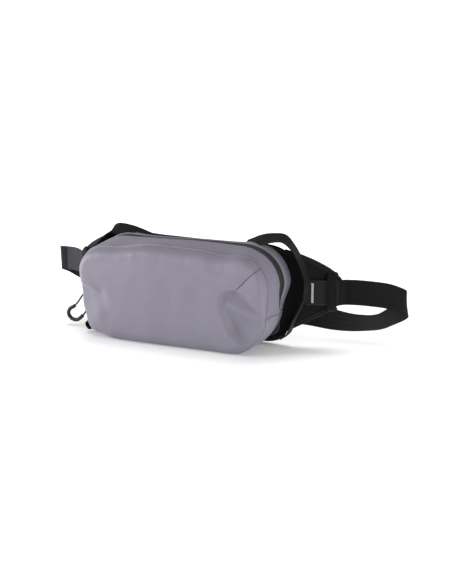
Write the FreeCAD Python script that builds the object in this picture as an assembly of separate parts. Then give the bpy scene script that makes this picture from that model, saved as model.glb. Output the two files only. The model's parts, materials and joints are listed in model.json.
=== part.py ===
# Waist-worn throw rope bag: a rounded coated-fabric compartment with a zip over
# its top and down both ends, a padded back with two hip wings, stabiliser straps
# and a 38 mm waist belt closed at the rear by a sliding magnetic buckle.
# Frame: origin under the middle of the compartment on the base plane, +X to the
# viewer's right when facing the front panel, +Y towards the wearer, +Z up. mm.
import FreeCAD, Part
import math
import os

os.makedirs("parts", exist_ok=True)
Vector = FreeCAD.Vector

# ---- driving dimensions -------------------------------------------------
# Body outline: F_ values hold at the front seam, R_ values at the rear edge
Y_FRONT = -49.0                          # crown of the front panel
Y_SEAM = -30.0                           # front seam
Y_REAR = 38.0                            # rear edge of the coated-fabric body
Z_SIDE_LO, Z_SIDE_HI = 54.0, 100.0       # straight part of each end wall
F_HALF_LO, R_HALF_LO = 151.5, 155.5      # half-length at Z_SIDE_LO
F_HALF_HI, R_HALF_HI = 155.5, 159.5      # half-length at Z_SIDE_HI
F_TOP, R_TOP = 150.5, 153.0              # top height at mid-length
F_EAR, R_EAR = F_TOP - 1.0, 155.0        # top height where the corners start
CORNER_RUN = 60.0                        # length of each top corner along X
BASE_HALF = 100.0                        # half-length of the flat base
BASE_Z = 0.0
LOW_POWER = 1.65                         # superellipse exponent of the lower corners
N_TOP, N_CORNER, N_LOW = 6, 9, 8         # facets in half the top, a corner, a lower corner

# Layers, as distances inside the outline
SKIN = 0.8                               # coated fabric
FOAM = (1.1, 4.4)
LINING = (4.8, 5.4)
TAPE = (1.0, 1.5)
COIL = (1.7, 3.4)
SEAM_GAP = 0.2                           # clearance of gussets and bottom at the seams

# Zip
Z_END = 57.0                             # zip ends and cross seams
ZIP_Y0, ZIP_Y1 = 4.0, 18.0               # edges of the opening
ZIP_C = (ZIP_Y0 + ZIP_Y1) / 2

# Webbing
BELT_W, BELT_T = 38.0, 1.5
STRAP_W, STRAP_T = 25.0, 1.4
LOW_STRAP_W = 15.0
BELT_Z = 36.0                            # mid-height of the straight rear run
WING_BELT_Z = 82.0                       # mid-height of the belt on the wings

SIDES = (("right", 1), ("left", -1))     # name and sign of X


# ---- general helpers ------------------------------------------------------
def save(name, shape):
    solids = shape.Solids
    if not solids:
        raise RuntimeError(name + " has no solid")
    out = solids[0] if len(solids) == 1 else Part.makeCompound(solids)
    out.exportStep("parts/" + name + ".step")


def box(x0, y0, z0, x1, y1, z1):
    """Box between two opposite corners."""
    return Part.makeBox(x1 - x0, y1 - y0, z1 - z0, Vector(x0, y0, z0))


def closed(points):
    return Part.makePolygon(points + [points[0]])


def polygon_at(y, outline):
    """Closed wire through (x, z) points at depth y."""
    return closed([Vector(x, y, z) for x, z in outline])


def prism(y0, y1, outline):
    return Part.Face(polygon_at(y0, outline)).extrude(Vector(0, y1 - y0, 0))


def fuse_all(shapes):
    result = shapes[0]
    for shape in shapes[1:]:
        result = result.fuse(shape)
    return result


def mirrored(points, side):
    return [(side * x, y, z) for x, y, z in points]


def inset(outline, distance):
    """Closed polygon moved inward (edges shifted, then intersected)."""
    if abs(distance) < 1e-9:
        return list(outline)
    following = outline[1:] + outline[:1]
    area = sum(a[0] * b[1] - b[0] * a[1] for a, b in zip(outline, following))
    turn = 1.0 if area > 0 else -1.0

    def inward_normal(a, b):
        length = math.hypot(b[0] - a[0], b[1] - a[1])
        return -(b[1] - a[1]) / length * turn, (b[0] - a[0]) / length * turn

    moved = []
    for i, (point, after) in enumerate(zip(outline, following)):
        n1 = inward_normal(outline[i - 1], point)
        n2 = inward_normal(point, after)
        bisector = (n1[0] + n2[0], n1[1] + n2[1])
        reach = distance / (bisector[0] * n1[0] + bisector[1] * n1[1])
        moved.append((point[0] + bisector[0] * reach, point[1] + bisector[1] * reach))
    return moved


def both_halves(half):
    """Full outline from its x >= 0 half; points on the centre line stay single."""
    return half + [(-x, z) for x, z in half[::-1] if x > 1e-6]


# ---- strips of webbing ------------------------------------------------------
def catmull(points, steps):
    """Catmull-Rom points through the given ones, `steps` per span."""
    first = tuple(2 * a - b for a, b in zip(points[0], points[1]))
    last = tuple(2 * a - b for a, b in zip(points[-1], points[-2]))
    knots = [first] + list(points) + [last]
    out = []
    for i in range(1, len(knots) - 2):
        for j in range(steps):
            t = j / float(steps)
            out.append(tuple(
                0.5 * (2 * b + (c - a) * t + (2 * a - 5 * b + 4 * c - d) * t * t
                       + (3 * b - a - 3 * c + d) * t ** 3)
                for a, b, c, d in zip(*knots[i - 1:i + 3])))
    out.append(tuple(points[-1]))
    return out


def quad_faces(p, q, r, s):
    """One face where the four corners are coplanar, otherwise two triangles."""
    normal = (q - p).cross(r - p)
    if normal.Length > 1e-9 and abs(normal.normalize().dot(s - p)) < 1e-7:
        return [Part.Face(closed([p, q, r, s]))]
    return [Part.Face(closed([p, q, r])), Part.Face(closed([p, r, s]))]


def strip(line, across, width, thick, steps):
    """Faceted webbing along a centre line; `across` gives the width direction per point."""
    centres = catmull(line, steps)
    directions = catmull(across, steps)
    sections = []
    for i, direction in enumerate(directions):
        before = centres[max(i - 1, 0)]
        after = centres[min(i + 1, len(centres) - 1)]
        along = (Vector(*after) - Vector(*before)).normalize()
        wide = Vector(*direction)
        wide = wide - along * wide.dot(along)
        wide.normalize()
        normal = along.cross(wide).normalize()
        centre = Vector(*centres[i])
        half_w = wide * (width / 2)
        half_t = normal * (thick / 2)
        sections.append([centre - half_w - half_t, centre + half_w - half_t,
                         centre + half_w + half_t, centre - half_w + half_t])
    faces = []
    for a, b in zip(sections[:-1], sections[1:]):
        for k in range(4):
            m = (k + 1) % 4
            faces += quad_faces(a[k], a[m], b[m], b[k])
    faces += quad_faces(*sections[0])
    faces += quad_faces(*sections[-1])
    shell = Part.makeShell(faces)
    shell.sewShape()
    solid = Part.makeSolid(shell)
    if solid.Volume < 0:
        solid.reverse()
    return solid


def even_strip(line, across, width, thick, steps):
    """Strip with the same width direction all along."""
    return strip(line, [across] * len(line), width, thick, steps)


# ---- outline of the compartment -----------------------------------------
def blend(front, rear, y):
    """Value at depth y between the front seam and the rear edge, held beyond them."""
    k = max(0.0, min(1.0, (y - Y_SEAM) / (Y_REAR - Y_SEAM)))
    return front + (rear - front) * k


def half_outline(y):
    """(x, z) points from top centre to the end of the flat base, x >= 0."""
    low_x = blend(F_HALF_LO, R_HALF_LO, y)
    corner_x = blend(F_HALF_HI, R_HALF_HI, y) - CORNER_RUN
    top = blend(F_TOP, R_TOP, y)
    ear = blend(F_EAR, R_EAR, y)
    points = []
    for i in range(N_TOP):
        t = i / float(N_TOP)
        points.append((corner_x * t, top + (ear - top) * t * t))
    for i in range(N_CORNER + 1):
        t = math.pi / 2 * i / N_CORNER
        points.append((corner_x + CORNER_RUN * math.sin(t),
                       Z_SIDE_HI + (ear - Z_SIDE_HI) * math.cos(t)))
    power = 2 / LOW_POWER
    for i in range(N_LOW + 1):
        t = math.pi / 2 * i / N_LOW
        points.append((BASE_HALF + (low_x - BASE_HALF) * math.cos(t) ** power,
                       Z_SIDE_LO - (Z_SIDE_LO - BASE_Z) * math.sin(t) ** power))
    return points


def body_outline(y, depth):
    return inset(both_halves(half_outline(y)), depth)


def body_loft(stations):
    """Ruled solid through (y, distance inside the outline) stations."""
    return Part.makeLoft([polygon_at(y, body_outline(y, d)) for y, d in stations], True, True)


def ring(y0, y1, outer, inner):
    """Band round the body between two distances inside its outline."""
    solid = body_loft([(y0, outer), (y1, outer)])
    return solid.cut(body_loft([(y0 - 1, inner), (y1 + 1, inner)]))


def dome(y_back, outer, inner):
    """Tray open to the rear that follows the front panel."""
    def filled(y_start, d):
        seam = [(Y_SEAM, d)] if y_back > Y_SEAM else []
        crown = [(-38.0, d), (-44.5 + d * 0.6, 3.5 + d), (Y_FRONT + d, 12.0 + d)]
        return body_loft([(y_start, d)] + seam + crown)
    return filled(y_back, outer).cut(filled(y_back + 2, inner))


CROSS_GAP = 0.15      # half the gap at the cross seams
BELOW_SEAM = box(-400, -200, -50, 400, 300, Z_END - CROSS_GAP)
ABOVE_SEAM = box(-400, -200, Z_END + CROSS_GAP, 400, 300, 400)


def upper_ring(y0, y1, outer, inner):
    return ring(y0, y1, outer, inner).common(ABOVE_SEAM)


def lower_ring(y0, y1, outer, inner):
    return ring(y0, y1, outer, inner).common(BELOW_SEAM)


# ---- coated-fabric body, padding and lining -----------------------------------
def make_fabric():
    y_front, y_rear = Y_SEAM + SEAM_GAP, Y_REAR - SEAM_GAP
    save("front_panel", dome(Y_SEAM, 0.0, SKIN))
    save("front_gusset", upper_ring(y_front, ZIP_Y0, 0.0, SKIN))
    save("rear_gusset", upper_ring(ZIP_Y1, y_rear, 0.0, SKIN))
    save("bottom_panel", lower_ring(y_front, y_rear, 0.0, SKIN))


def make_padding():
    y_rear = 36.0
    save("front_foam", dome(-6.0, *FOAM))
    save("base_foam", lower_ring(-5.8, y_rear, *FOAM))
    save("rear_foam", upper_ring(26.5, y_rear, *FOAM))
    slot = box(-400, ZIP_Y0 - 1, Z_END, 400, ZIP_Y1 + 1, 400)
    save("lining", dome(y_rear, *LINING).cut(slot))


# ---- zip --------------------------------------------------------------------
def end_wall_x(z):
    """Half-length of the body on the zip centre line, on the straight end wall."""
    rise = (z - Z_SIDE_LO) / (Z_SIDE_HI - Z_SIDE_LO)
    return blend(F_HALF_LO, R_HALF_LO, ZIP_C) + (F_HALF_HI - F_HALF_LO) * rise


def make_zip():
    tape_gap = 1.0                  # from the centre line to each tape
    coil_near, coil_far = 1.05, 3.4  # from the centre line to the coil edges
    save("zip_tape_front", upper_ring(-5.0, ZIP_C - tape_gap, *TAPE))
    save("zip_tape_rear", upper_ring(ZIP_C + tape_gap, 26.0, *TAPE))
    save("zip_coil_front", upper_ring(ZIP_C - coil_far, ZIP_C - coil_near, *COIL))
    save("zip_coil_rear", upper_ring(ZIP_C + coil_near, ZIP_C + coil_far, *COIL))
    wall = end_wall_x(Z_END + 1.0)
    stops = []
    for side in (-1, 1):
        x0, x1 = sorted((side * (wall - 3.6), side * (wall - 1.55)))
        stops.append(box(x0, ZIP_C - 0.9, Z_END + 0.3, x1, ZIP_C + 0.9, Z_END + 3.3))
    save("zip_end_stops", Part.makeCompound(stops))


# ---- back of the body -------------------------------------------------------
# (x, z) of the back pad, x >= 0, from top centre to bottom centre
PAD_HALF = [(0, 152.0), (60, 152.5), (100, 153.0), (124, 150.5), (138, 147.0),
            (149.5, 142.0), (149.5, 22.0), (144, 14.0), (134, 7.0), (120, 4.0),
            (60, 3.0), (0, 3.0)]


def pad_layer(y0, y1, distance):
    return prism(y0, y1, inset(both_halves(PAD_HALF), distance))


def make_back():
    save("back_wall", prism(37.9, 38.7, body_outline(Y_REAR, 1.0)))
    save("frame_sheet", pad_layer(39.0, 40.5, 8.0))
    save("back_foam", pad_layer(40.7, 51.5, 1.6))
    save("back_mesh", pad_layer(51.7, 53.6, 1.6))
    # binding round the pad, left open at both ends beside the wings
    binding = pad_layer(40.2, 54.0, 0.0).cut(pad_layer(39.0, 55.0, 1.2))
    for x in (140, -160):
        binding = binding.cut(box(x, 30, 25, x + 20, 60, 140))
    save("back_binding", binding)


# ---- stabiliser straps --------------------------------------------------------
# Centre lines (x, y, z) and width directions, written for the +X side.
# Upper: from the rear top edge, over the shoulder of the body, down to the belt tab.
UPPER_LINES = {
    "right": [(90, 36.0, 157.0), (106, 37, 159.8), (126, 38, 164.2), (144, 38, 164.8),
              (157, 37.0, 158), (168.5, 35.8, 146), (176.5, 36.4, 132), (182, 37.6, 118),
              (185, 38.8, 104), (184, 39.0, 86.0)],
    "left": [(90, 36.0, 157.0), (102, 37, 159.0), (116, 38, 162.0), (128, 37, 162.0),
             (139, 33.3, 157.5), (148, 29.8, 150), (158.5, 28.6, 139.5), (169, 30.4, 125),
             (179.5, 35, 106.0), (184, 39.0, 86.0)],
}
UPPER_ACROSS = [(0, 1, 0.05), (0, 1, 0.12), (-0.03, 1, 0.26), (-0.06, 1, 0.28),
                (-0.12, 0.98, 0.12), (-0.18, 0.97, 0), (-0.24, 0.96, 0), (-0.3, 0.95, 0),
                (-0.38, 0.92, 0), (-0.45, 0.87, 0)]
# Lower: on from the belt tab to the lower corner of the back
LOWER_LINE = [(184, 39.0, 80.0), (181, 38.8, 68), (175.5, 38.4, 56), (170, 37.8, 46),
              (164.5, 36.9, 36), (160.5, 36.2, 28), (156.5, 36.8, 20), (149.5, 39.2, 11.0)]
LOWER_ACROSS = [(-0.45, 0.87, 0), (-0.4, 0.9, 0), (-0.34, 0.93, 0), (-0.25, 0.96, 0),
                (-0.15, 0.98, 0), (-0.05, 1, 0), (0, 1, 0), (0, 1, 0)]


def make_stabilisers(tag, side):
    save("upper_stabiliser_" + tag,
         strip(mirrored(UPPER_LINES[tag], side), mirrored(UPPER_ACROSS, side),
               STRAP_W, STRAP_T, 4))
    save("lower_stabiliser_" + tag,
         strip(mirrored(LOWER_LINE, side), mirrored(LOWER_ACROSS, side),
               LOW_STRAP_W, STRAP_T, 4))


# ---- hip wings --------------------------------------------------------------
# Stations from root to tip: x, y of the mid surface, z of top edge, z of bottom edge
WING = [(152.5, 48.2, 143.5, 24.0), (160, 51.4, 141, 28), (168, 54.8, 138, 32.2),
        (176, 58.4, 134.5, 36.6), (184, 62.0, 130.8, 41), (192, 65.6, 126.4, 45.4),
        (200, 69.4, 121.2, 50.2), (206, 72.2, 116.6, 54.4), (211, 74.6, 111.8, 58.6),
        (215, 76.6, 107.2, 63.2), (218, 78.2, 102.6, 68.4), (220.5, 79.6, 97, 74.2),
        (222, 80.5, 91.5, 79.5)]
WING_MID_Z = 85       # parts the top edge from the bottom edge
WING_BINDING_OUT = 0.9
ANCHOR_X = [178, 184, 190, 198, 204, 210, 214, 218, 221.5, 224.5]
BARTACK_X = [181.5, 183.5, 185.5]
KEEPER_X = 209.0
# Elastic keeper from top to bottom: distance in front of the wing mid surface, z
KEEPER_LINE = [(7.4, 110.5), (8.6, 106.5), (9.9, 102.5), (10.2, 92.0), (10.2, 82.0),
               (10.2, 72.0), (9.9, 61.5), (8.6, 59.0)]


def wing_y(x):
    """Mid surface of the wing at x, carried on straight past the tip."""
    for (x0, y0, _, _), (x1, y1, _, _) in zip(WING, WING[1:]):
        if x <= x1:
            return y0 + (x - x0) * (y1 - y0) / (x1 - x0)
    x0, y0 = WING[-4][:2]
    x1, y1 = WING[-1][:2]
    return y1 + (x - x1) * (y1 - y0) / (x1 - x0)


def wing_layer(y0, y1, margin, side):
    """Layer between two offsets from the mid surface, held in at top, bottom and tip."""
    wires = []
    for x, y, top, bottom in WING:
        if x == WING[-1][0]:
            x -= margin
        corners = ((y0, bottom + margin), (y0, top - margin),
                   (y1, top - margin), (y1, bottom + margin))
        wires.append(closed([Vector(side * x, y + dy, z) for dy, z in corners]))
    return Part.makeLoft(wires, True, True)


def wing_binding(side):
    """Tape round the free edge, outside the layers."""
    edge = [(x, y, top) for x, y, top, _ in WING]
    edge += [(x, y, bottom) for x, y, _, bottom in WING[::-1]]
    line = []
    for i, (x, y, z) in enumerate(edge):
        before, after = edge[max(i - 1, 0)], edge[min(i + 1, len(edge) - 1)]
        run, rise = after[0] - before[0], after[2] - before[2]
        length = math.hypot(run, rise)
        out_x, out_z = -rise / length, run / length
        if out_x + out_z * (1 if z > WING_MID_Z else -1) < 0:
            out_x, out_z = -out_x, -out_z
        line.append((side * (x + out_x * WING_BINDING_OUT),
                     y + out_x * WING_BINDING_OUT * 0.45,
                     z + out_z * WING_BINDING_OUT))
    return even_strip(line, (0, 1, 0), 12.2, 0.9, 1)


def strip_on_wing(stations, lift, side, width, thick):
    """Upright strip lying `lift` in front of the wing mid surface."""
    line = [(side * x, wing_y(x) - lift, WING_BELT_Z) for x in stations]
    return even_strip(line, (0, 0, 1), width, thick, 1)


def make_wing(tag, side):
    save("wing_face_" + tag, wing_layer(-6.2, -5.4, 0.0, side))
    save("wing_foam_" + tag, wing_layer(-5.2, 3.6, 1.2, side))
    save("wing_mesh_" + tag, wing_layer(4.6, 6.2, 0.0, side))
    save("wing_binding_" + tag, wing_binding(side))
    # belt webbing sewn to the wing, out to just past its tip
    save("belt_anchor_" + tag, strip_on_wing(ANCHOR_X, 7.6, side, BELT_W, BELT_T))
    # elastic keeper over the webbing
    keeper = [(side * KEEPER_X, wing_y(KEEPER_X) - lift, z) for lift, z in KEEPER_LINE]
    save("belt_keeper_" + tag, even_strip(keeper, (side * 0.87, 0.45, 0), 13.0, 1.0, 1))


# ---- waist belt ---------------------------------------------------------------
# Centre lines (x, y, z) and width directions.
# Right: wing tip, round to the rear, through the buckle and back as the tail
BELT_RIGHT = [
    (228.5, 79.4, 82), (245, 84.0, 82), (266, 88.5, 81.5), (286, 93, 80), (301, 98, 76.5),
    (309, 104.5, 71.5), (308, 112.5, 63.5), (296, 117.5, 51), (277, 118, 40.5),
    (256, 116, 35), (232, 113.4, 34.5), (205, 112, 35.6), (150, 112, 36), (100, 112, 36),
    (60, 112, 36), (42, 111.8, 36), (32, 110.8, 36), (26, 110.5, 36), (22.3, 111.6, 36),
    (22.3, 114.4, 36), (26, 115.5, 36), (32, 115.2, 36), (42, 114.6, 36), (60, 114.4, 36),
    (100, 114.4, 36), (150, 114.4, 36)]
BELT_RIGHT_ACROSS = [
    (0, 0, 1), (0, 0, 1), (0, 0, 1), (0, 0, 1), (0.05, 0.05, 1), (0.1, 0.0, 1),
    (0.05, -0.2, 1), (0, -0.45, 1), (0, -0.5, 1), (0, -0.4, 1), (0, -0.15, 1)
] + [(0, 0, 1)] * 15
# Left: from beside the buckle round to the wing tip
BELT_LEFT = [
    (-54, 112, 36), (-100, 112, 36), (-150, 112, 36), (-176, 112, 37.5), (-200, 111.5, 43),
    (-224, 110.5, 51.5), (-246, 108.5, 61.5), (-262, 105, 71.5), (-270.5, 99, 80),
    (-271, 91.5, 84.5), (-264, 85.8, 86.5), (-250, 82.8, 86.5), (-236, 80.8, 84),
    (-228.5, 79.4, 82)]
BELT_LEFT_ACROSS = [
    (0, 0, 1), (0, 0, 1), (0, 0, 1), (0, -0.08, 1), (0, -0.2, 1), (0, -0.28, 1),
    (0, -0.28, 1), (-0.05, -0.2, 1), (-0.1, 0, 1), (-0.05, 0, 1)
] + [(0, 0, 1)] * 4
# Left end: short loop round the bar of the male half
BELT_LEFT_END = [
    (-50, 112, 36), (-40, 111.6, 36), (-32, 111.1, 36), (-26, 110.5, 36),
    (-22.3, 111.6, 36), (-22.3, 114.4, 36), (-26, 115.5, 36), (-32, 115.0, 36),
    (-40, 114.6, 36), (-50, 114.3, 36)]


def make_belt():
    save("belt_right", strip(BELT_RIGHT, BELT_RIGHT_ACROSS, BELT_W, BELT_T, 5))
    save("belt_left", strip(BELT_LEFT, BELT_LEFT_ACROSS, BELT_W, BELT_T, 5))
    save("belt_left_end", even_strip(BELT_LEFT_END, (0, 0, 1), BELT_W, BELT_T, 5))
    half_outer, half_inner = 21.0, 19.4
    keeper = box(90, 109.4, BELT_Z - half_outer, 100, 116.9, BELT_Z + half_outer)
    save("tail_keeper", keeper.cut(
        box(89, 110.8, BELT_Z - half_inner, 101, 115.5, BELT_Z + half_inner)))


# ---- sliding magnetic buckle ----------------------------------------------------
CHEEK_T = 2.6                            # cheeks that hold the webbing bars
CHEEK_LO = BELT_Z - 22.1                 # lower face of the lower cheek
CHEEK_HI = BELT_Z + 19.5                 # lower face of the upper cheek
BUCKLE_TOP = CHEEK_HI + CHEEK_T
BAR_X, BAR_Y, BAR_R = 25.6, 113.0, 1.5
MAGNET_X, MAGNET_R, MAGNET_T = 8, 4.0, 2.0


def webbing_bar(x):
    return Part.makeCylinder(BAR_R, BUCKLE_TOP - CHEEK_LO, Vector(x, BAR_Y, CHEEK_LO),
                             Vector(0, 0, 1))


def magnet_disc(y, radius, thick):
    return Part.makeCylinder(radius, thick, Vector(MAGNET_X, y, BELT_Z), Vector(0, 1, 0))


def save_half(name, shapes, pocket_y):
    pocket = magnet_disc(pocket_y, MAGNET_R + 0.1, MAGNET_T + 0.2)
    save(name, fuse_all(shapes).cut(pocket).removeSplitter())


def make_buckle():
    plate_lo, plate_hi = BELT_Z - 19.5, BELT_Z + 19.5
    female = [box(-8, 115.2, plate_lo, 20, 118, plate_hi),     # plate
              box(-8, 110.9, plate_lo, -5, 118, plate_hi),     # end wall
              box(-8, 107.6, 13.6, 16, 118, plate_lo)]         # lower wall
    female += [box(16, 110.9, z, 28, 118, z + CHEEK_T) for z in (CHEEK_LO, CHEEK_HI)]
    female.append(webbing_bar(BAR_X))
    save_half("buckle_female", female, 115.2)
    save("female_magnet", magnet_disc(115.25, MAGNET_R, MAGNET_T))

    plate_lo, plate_hi = BELT_Z - 19.2, BELT_Z + 19.2
    male = [box(-20, 107.8, plate_lo, 14, 110.6, plate_hi),    # plate
            box(-4.8, 107.8, plate_lo, -1.8, 114.9, plate_hi)]  # upright rib
    male += [box(-28, 107.8, z, -16, 115.4, z + CHEEK_T) for z in (CHEEK_LO, CHEEK_HI)]
    male.append(box(-20, 107.8, CHEEK_LO, -16, 110.6, BUCKLE_TOP))
    male.append(webbing_bar(-BAR_X))
    save_half("buckle_male", male, 108.4)
    save("male_magnet", magnet_disc(108.5, MAGNET_R, MAGNET_T))

    tab = [(-6, 107.1, 46), (-6, 107.0, 54), (-6, 106.8, 62), (-6, 107.6, 68),
           (-6, 109.6, 70.5), (-6, 111.0, 68.0), (-6, 111.4, 62)]
    save("buckle_pull_tab", even_strip(tab, (1, 0, 0), 14.0, 1.0, 4))


# ---- zip slider and pull, near the lower left end of the zip ---------------------
SLIDER_Z = 68.0
SLIDER = Vector(-end_wall_x(SLIDER_Z), 0, SLIDER_Z)
UP_WALL = Vector(F_HALF_LO - F_HALF_HI, 0, Z_SIDE_HI - Z_SIDE_LO).normalize()
OUTWARD = Vector(-UP_WALL.z, 0, UP_WALL.x)

# Slider blocks: start and end up the wall, start and end inside it, half-width in Y
SLIDER_BLOCKS = [(-6.5, 6.5, -1.3, 0.6, 5.5),      # outer plate
                 (-6.5, 6.5, 3.9, 5.1, 5.0),       # inner plate
                 (2.0, 6.0, 0.5, 4.0, 0.75),       # post between the plates
                 (-5.5, -3.9, -5.3, -1.2, 1.6),    # lower leg of the bridge
                 (3.9, 5.5, -5.3, -1.2, 1.6),      # upper leg of the bridge
                 (-5.5, 5.5, -5.3, -4.1, 1.6)]     # top of the bridge
BAIL_R, BAIL_HALF, BAIL_LEN = 0.9, 3.6, 11.5
CORD_R = 1.25
TUBE_R, TUBE_BORE = 2.7, 1.9
CORD_CLEAR_R = 1.6                       # bore cleared along the whole cord
# Cord loop: (distance along the pull, distance to its side)
CORD_LOOP = [(8.4, 0), (12.0, 4.4), (28, 6.4), (41, 4.2), (52, 4.8), (63, 8.0),
             (70.5, 4.6), (72.0, -4.5), (66.5, -12.5), (55, -15.4), (43, -15.2),
             (27, -10.6), (12.0, -4.4)]
TUBE_ENDS = ((51.0, 4.7), (53.0, -15.3))


def on_wall(up, depth, y):
    """Point `up` the end wall from the slider and `depth` inside it."""
    return SLIDER + UP_WALL * up - OUTWARD * depth + Vector(0, y, 0)


def wall_block(up0, up1, depth0, depth1, half_y):
    y = ZIP_C - half_y
    corners = [on_wall(up0, depth0, y), on_wall(up1, depth0, y),
               on_wall(up1, depth1, y), on_wall(up0, depth1, y)]
    return Part.Face(closed(corners)).extrude(Vector(0, 2 * half_y, 0))


BAIL_AXIS = on_wall(0, -2.7, ZIP_C)
PULL_ALONG = Vector(-0.63, 0, -0.777).normalize()
PULL_ASIDE = Vector(-0.777, 0, 0.63).normalize()


def on_pull(along, aside, y=0.0):
    return BAIL_AXIS + PULL_ALONG * along + PULL_ASIDE * aside + Vector(0, y, 0)


def rod(start, end, radius):
    reach = end - start
    return Part.makeCylinder(radius, reach.Length, start, reach)


def make_bail():
    near_a, near_b, far_a, far_b = [on_pull(along, 0, y) for along in (0, BAIL_LEN)
                                    for y in (-BAIL_HALF, BAIL_HALF)]
    shapes = [rod(start, end, BAIL_R) for start, end in
              ((near_a, near_b), (near_a, far_a), (near_b, far_b), (far_a, far_b))]
    shapes += [Part.makeSphere(BAIL_R, corner) for corner in (near_a, near_b, far_a, far_b)]
    save("zip_bail", fuse_all(shapes))


def make_cord():
    curve = Part.BSplineCurve()
    curve.interpolate(Points=[on_pull(a, b) for a, b in CORD_LOOP], PeriodicFlag=True)

    def pipe(edge, start, radius):
        circle = Part.makeCircle(radius, curve.value(start), curve.tangent(start)[0])
        return Part.Wire([edge]).makePipeShell([Part.Wire([circle])], True, True)

    def whole(radius):
        return pipe(curve.toShape(), curve.FirstParameter, radius)

    def part(start, end, radius):
        return pipe(Part.Edge(curve, start, end), start, radius)

    save("pull_cord", whole(CORD_R))
    start, end = [curve.parameter(on_pull(a, b)) for a, b in TUBE_ENDS]
    extra = 0.02 * (end - start)
    tube = part(start, end, TUBE_R).cut(part(start - extra, end + extra, TUBE_BORE))
    tube = tube.cut(whole(CORD_CLEAR_R))
    # the tube wall is the largest solid the cuts leave
    save("pull_tube", max(tube.Solids, key=lambda solid: solid.Volume))


def make_slider():
    save("zip_slider", fuse_all([wall_block(*b) for b in SLIDER_BLOCKS]).removeSplitter())
    make_bail()
    make_cord()


# ---- grab tab, rope anchor and rope ---------------------------------------------
ROPE_R = 4.0
ROPE_X, ROPE_Y, ROPE_Z = 2.0, -6.0, 22.0     # middle of the lowest layer
ROPE_LAYERS, ROPE_PITCH = 9, 8.3
ROPE_HALF = 84.0                             # half-length of the straights
ROPE_TURNS = (28.0, 19.5)                    # radii of the outer and inner loops


def make_loops():
    # tab in the lower left seam
    tab = [(-146.4, -14, 26.5), (-151.4, -14, 24.0), (-155.9, -14, 19.0),
           (-154.9, -14, 13.5), (-149.9, -14, 11.0), (-142.9, -14, 14.2)]
    save("grab_tab", even_strip(tab, (0, 1, 0), 15.0, 1.2, 4))
    # loop standing on the floor of the compartment
    anchor = [(-40, 12, 6.0), (-40, 12, 11), (-38.5, 12, 15), (-34.0, 12, 16.0),
              (-30.5, 12, 15), (-29, 12, 11), (-29, 12, 6.0)]
    save("rope_anchor_loop", even_strip(anchor, (0, 1, 0), 20.0, 1.2, 4))


def racetrack(z, turn):
    """Closed loop of rope lying flat: two straights and two half turns."""
    def straight(side):
        start = Vector(ROPE_X - ROPE_HALF, ROPE_Y + side * turn, z)
        return Part.makeCylinder(ROPE_R, 2 * ROPE_HALF, start, Vector(1, 0, 0))

    def half_turn(side):
        centre = Vector(ROPE_X + side * ROPE_HALF, ROPE_Y, z)
        torus = Part.makeTorus(turn, ROPE_R, centre, Vector(0, 0, 1), 0, 360, 180)
        torus.rotate(centre, Vector(0, 0, 1), -90 * side)
        return torus

    return fuse_all([straight(-1), half_turn(1), straight(1), half_turn(-1)]).removeSplitter()


def make_rope():
    loops = [racetrack(ROPE_Z + i * ROPE_PITCH, turn)
             for i in range(ROPE_LAYERS) for turn in ROPE_TURNS]
    save("throw_rope", Part.makeCompound(loops))


make_fabric()
make_padding()
make_zip()
make_back()
for tag, side in SIDES:
    make_stabilisers(tag, side)
    make_wing(tag, side)
save("contrast_bartack_right", strip_on_wing(BARTACK_X, 8.9, 1, 30.0, 0.6))
make_belt()
make_buckle()
make_slider()
make_loops()
make_rope()
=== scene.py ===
# Waist-worn throw rope bag: skins, webbing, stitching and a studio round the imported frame.
#
# The bag stands on z = 0 with its width along X. The front panel faces -Y, the padded back
# faces +Y and "right" is +X. The wings reach outward from the back pad and the waist belt
# crosses behind them. Shapes are in millimetres and become metres in new_object.
# Materials, lights and the camera are in metres. UVs are in centimetres.
import itertools
import json
import math

import bmesh
import bpy
import numpy as np
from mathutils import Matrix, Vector

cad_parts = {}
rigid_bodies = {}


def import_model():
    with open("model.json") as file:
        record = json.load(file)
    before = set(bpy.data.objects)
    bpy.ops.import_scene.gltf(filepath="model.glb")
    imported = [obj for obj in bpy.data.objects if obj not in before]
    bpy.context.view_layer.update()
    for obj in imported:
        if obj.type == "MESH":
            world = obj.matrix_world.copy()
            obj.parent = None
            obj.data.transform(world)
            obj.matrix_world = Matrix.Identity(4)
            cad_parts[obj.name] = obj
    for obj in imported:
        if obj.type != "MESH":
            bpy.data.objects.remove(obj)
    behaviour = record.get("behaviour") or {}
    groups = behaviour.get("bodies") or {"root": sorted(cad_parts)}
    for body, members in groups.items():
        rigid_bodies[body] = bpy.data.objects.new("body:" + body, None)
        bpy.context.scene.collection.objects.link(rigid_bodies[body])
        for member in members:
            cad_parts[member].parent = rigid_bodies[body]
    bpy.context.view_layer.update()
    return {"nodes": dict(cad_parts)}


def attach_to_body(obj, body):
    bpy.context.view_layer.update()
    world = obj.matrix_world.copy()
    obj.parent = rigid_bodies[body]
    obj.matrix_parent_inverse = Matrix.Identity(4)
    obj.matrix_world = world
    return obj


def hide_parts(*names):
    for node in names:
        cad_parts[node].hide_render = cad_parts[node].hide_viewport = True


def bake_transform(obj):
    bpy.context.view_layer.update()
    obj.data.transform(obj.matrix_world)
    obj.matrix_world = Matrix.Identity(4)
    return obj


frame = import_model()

MM = 0.001


# ------------------------------------------------------------ curves and noise
def ease(t):
    """Smooth step: 0 below t = 0, 1 above t = 1."""
    t = np.clip(t, 0.0, 1.0)
    return t * t * (3 - 2 * t)


def bell(x, width):
    """Gaussian bump, with width as its standard deviation."""
    return np.exp(-0.5 * (x / width) ** 2)


def ridge(x, width):
    """Narrower bump that falls to 1/e at width."""
    return np.exp(-(x / width) ** 2)


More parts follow.
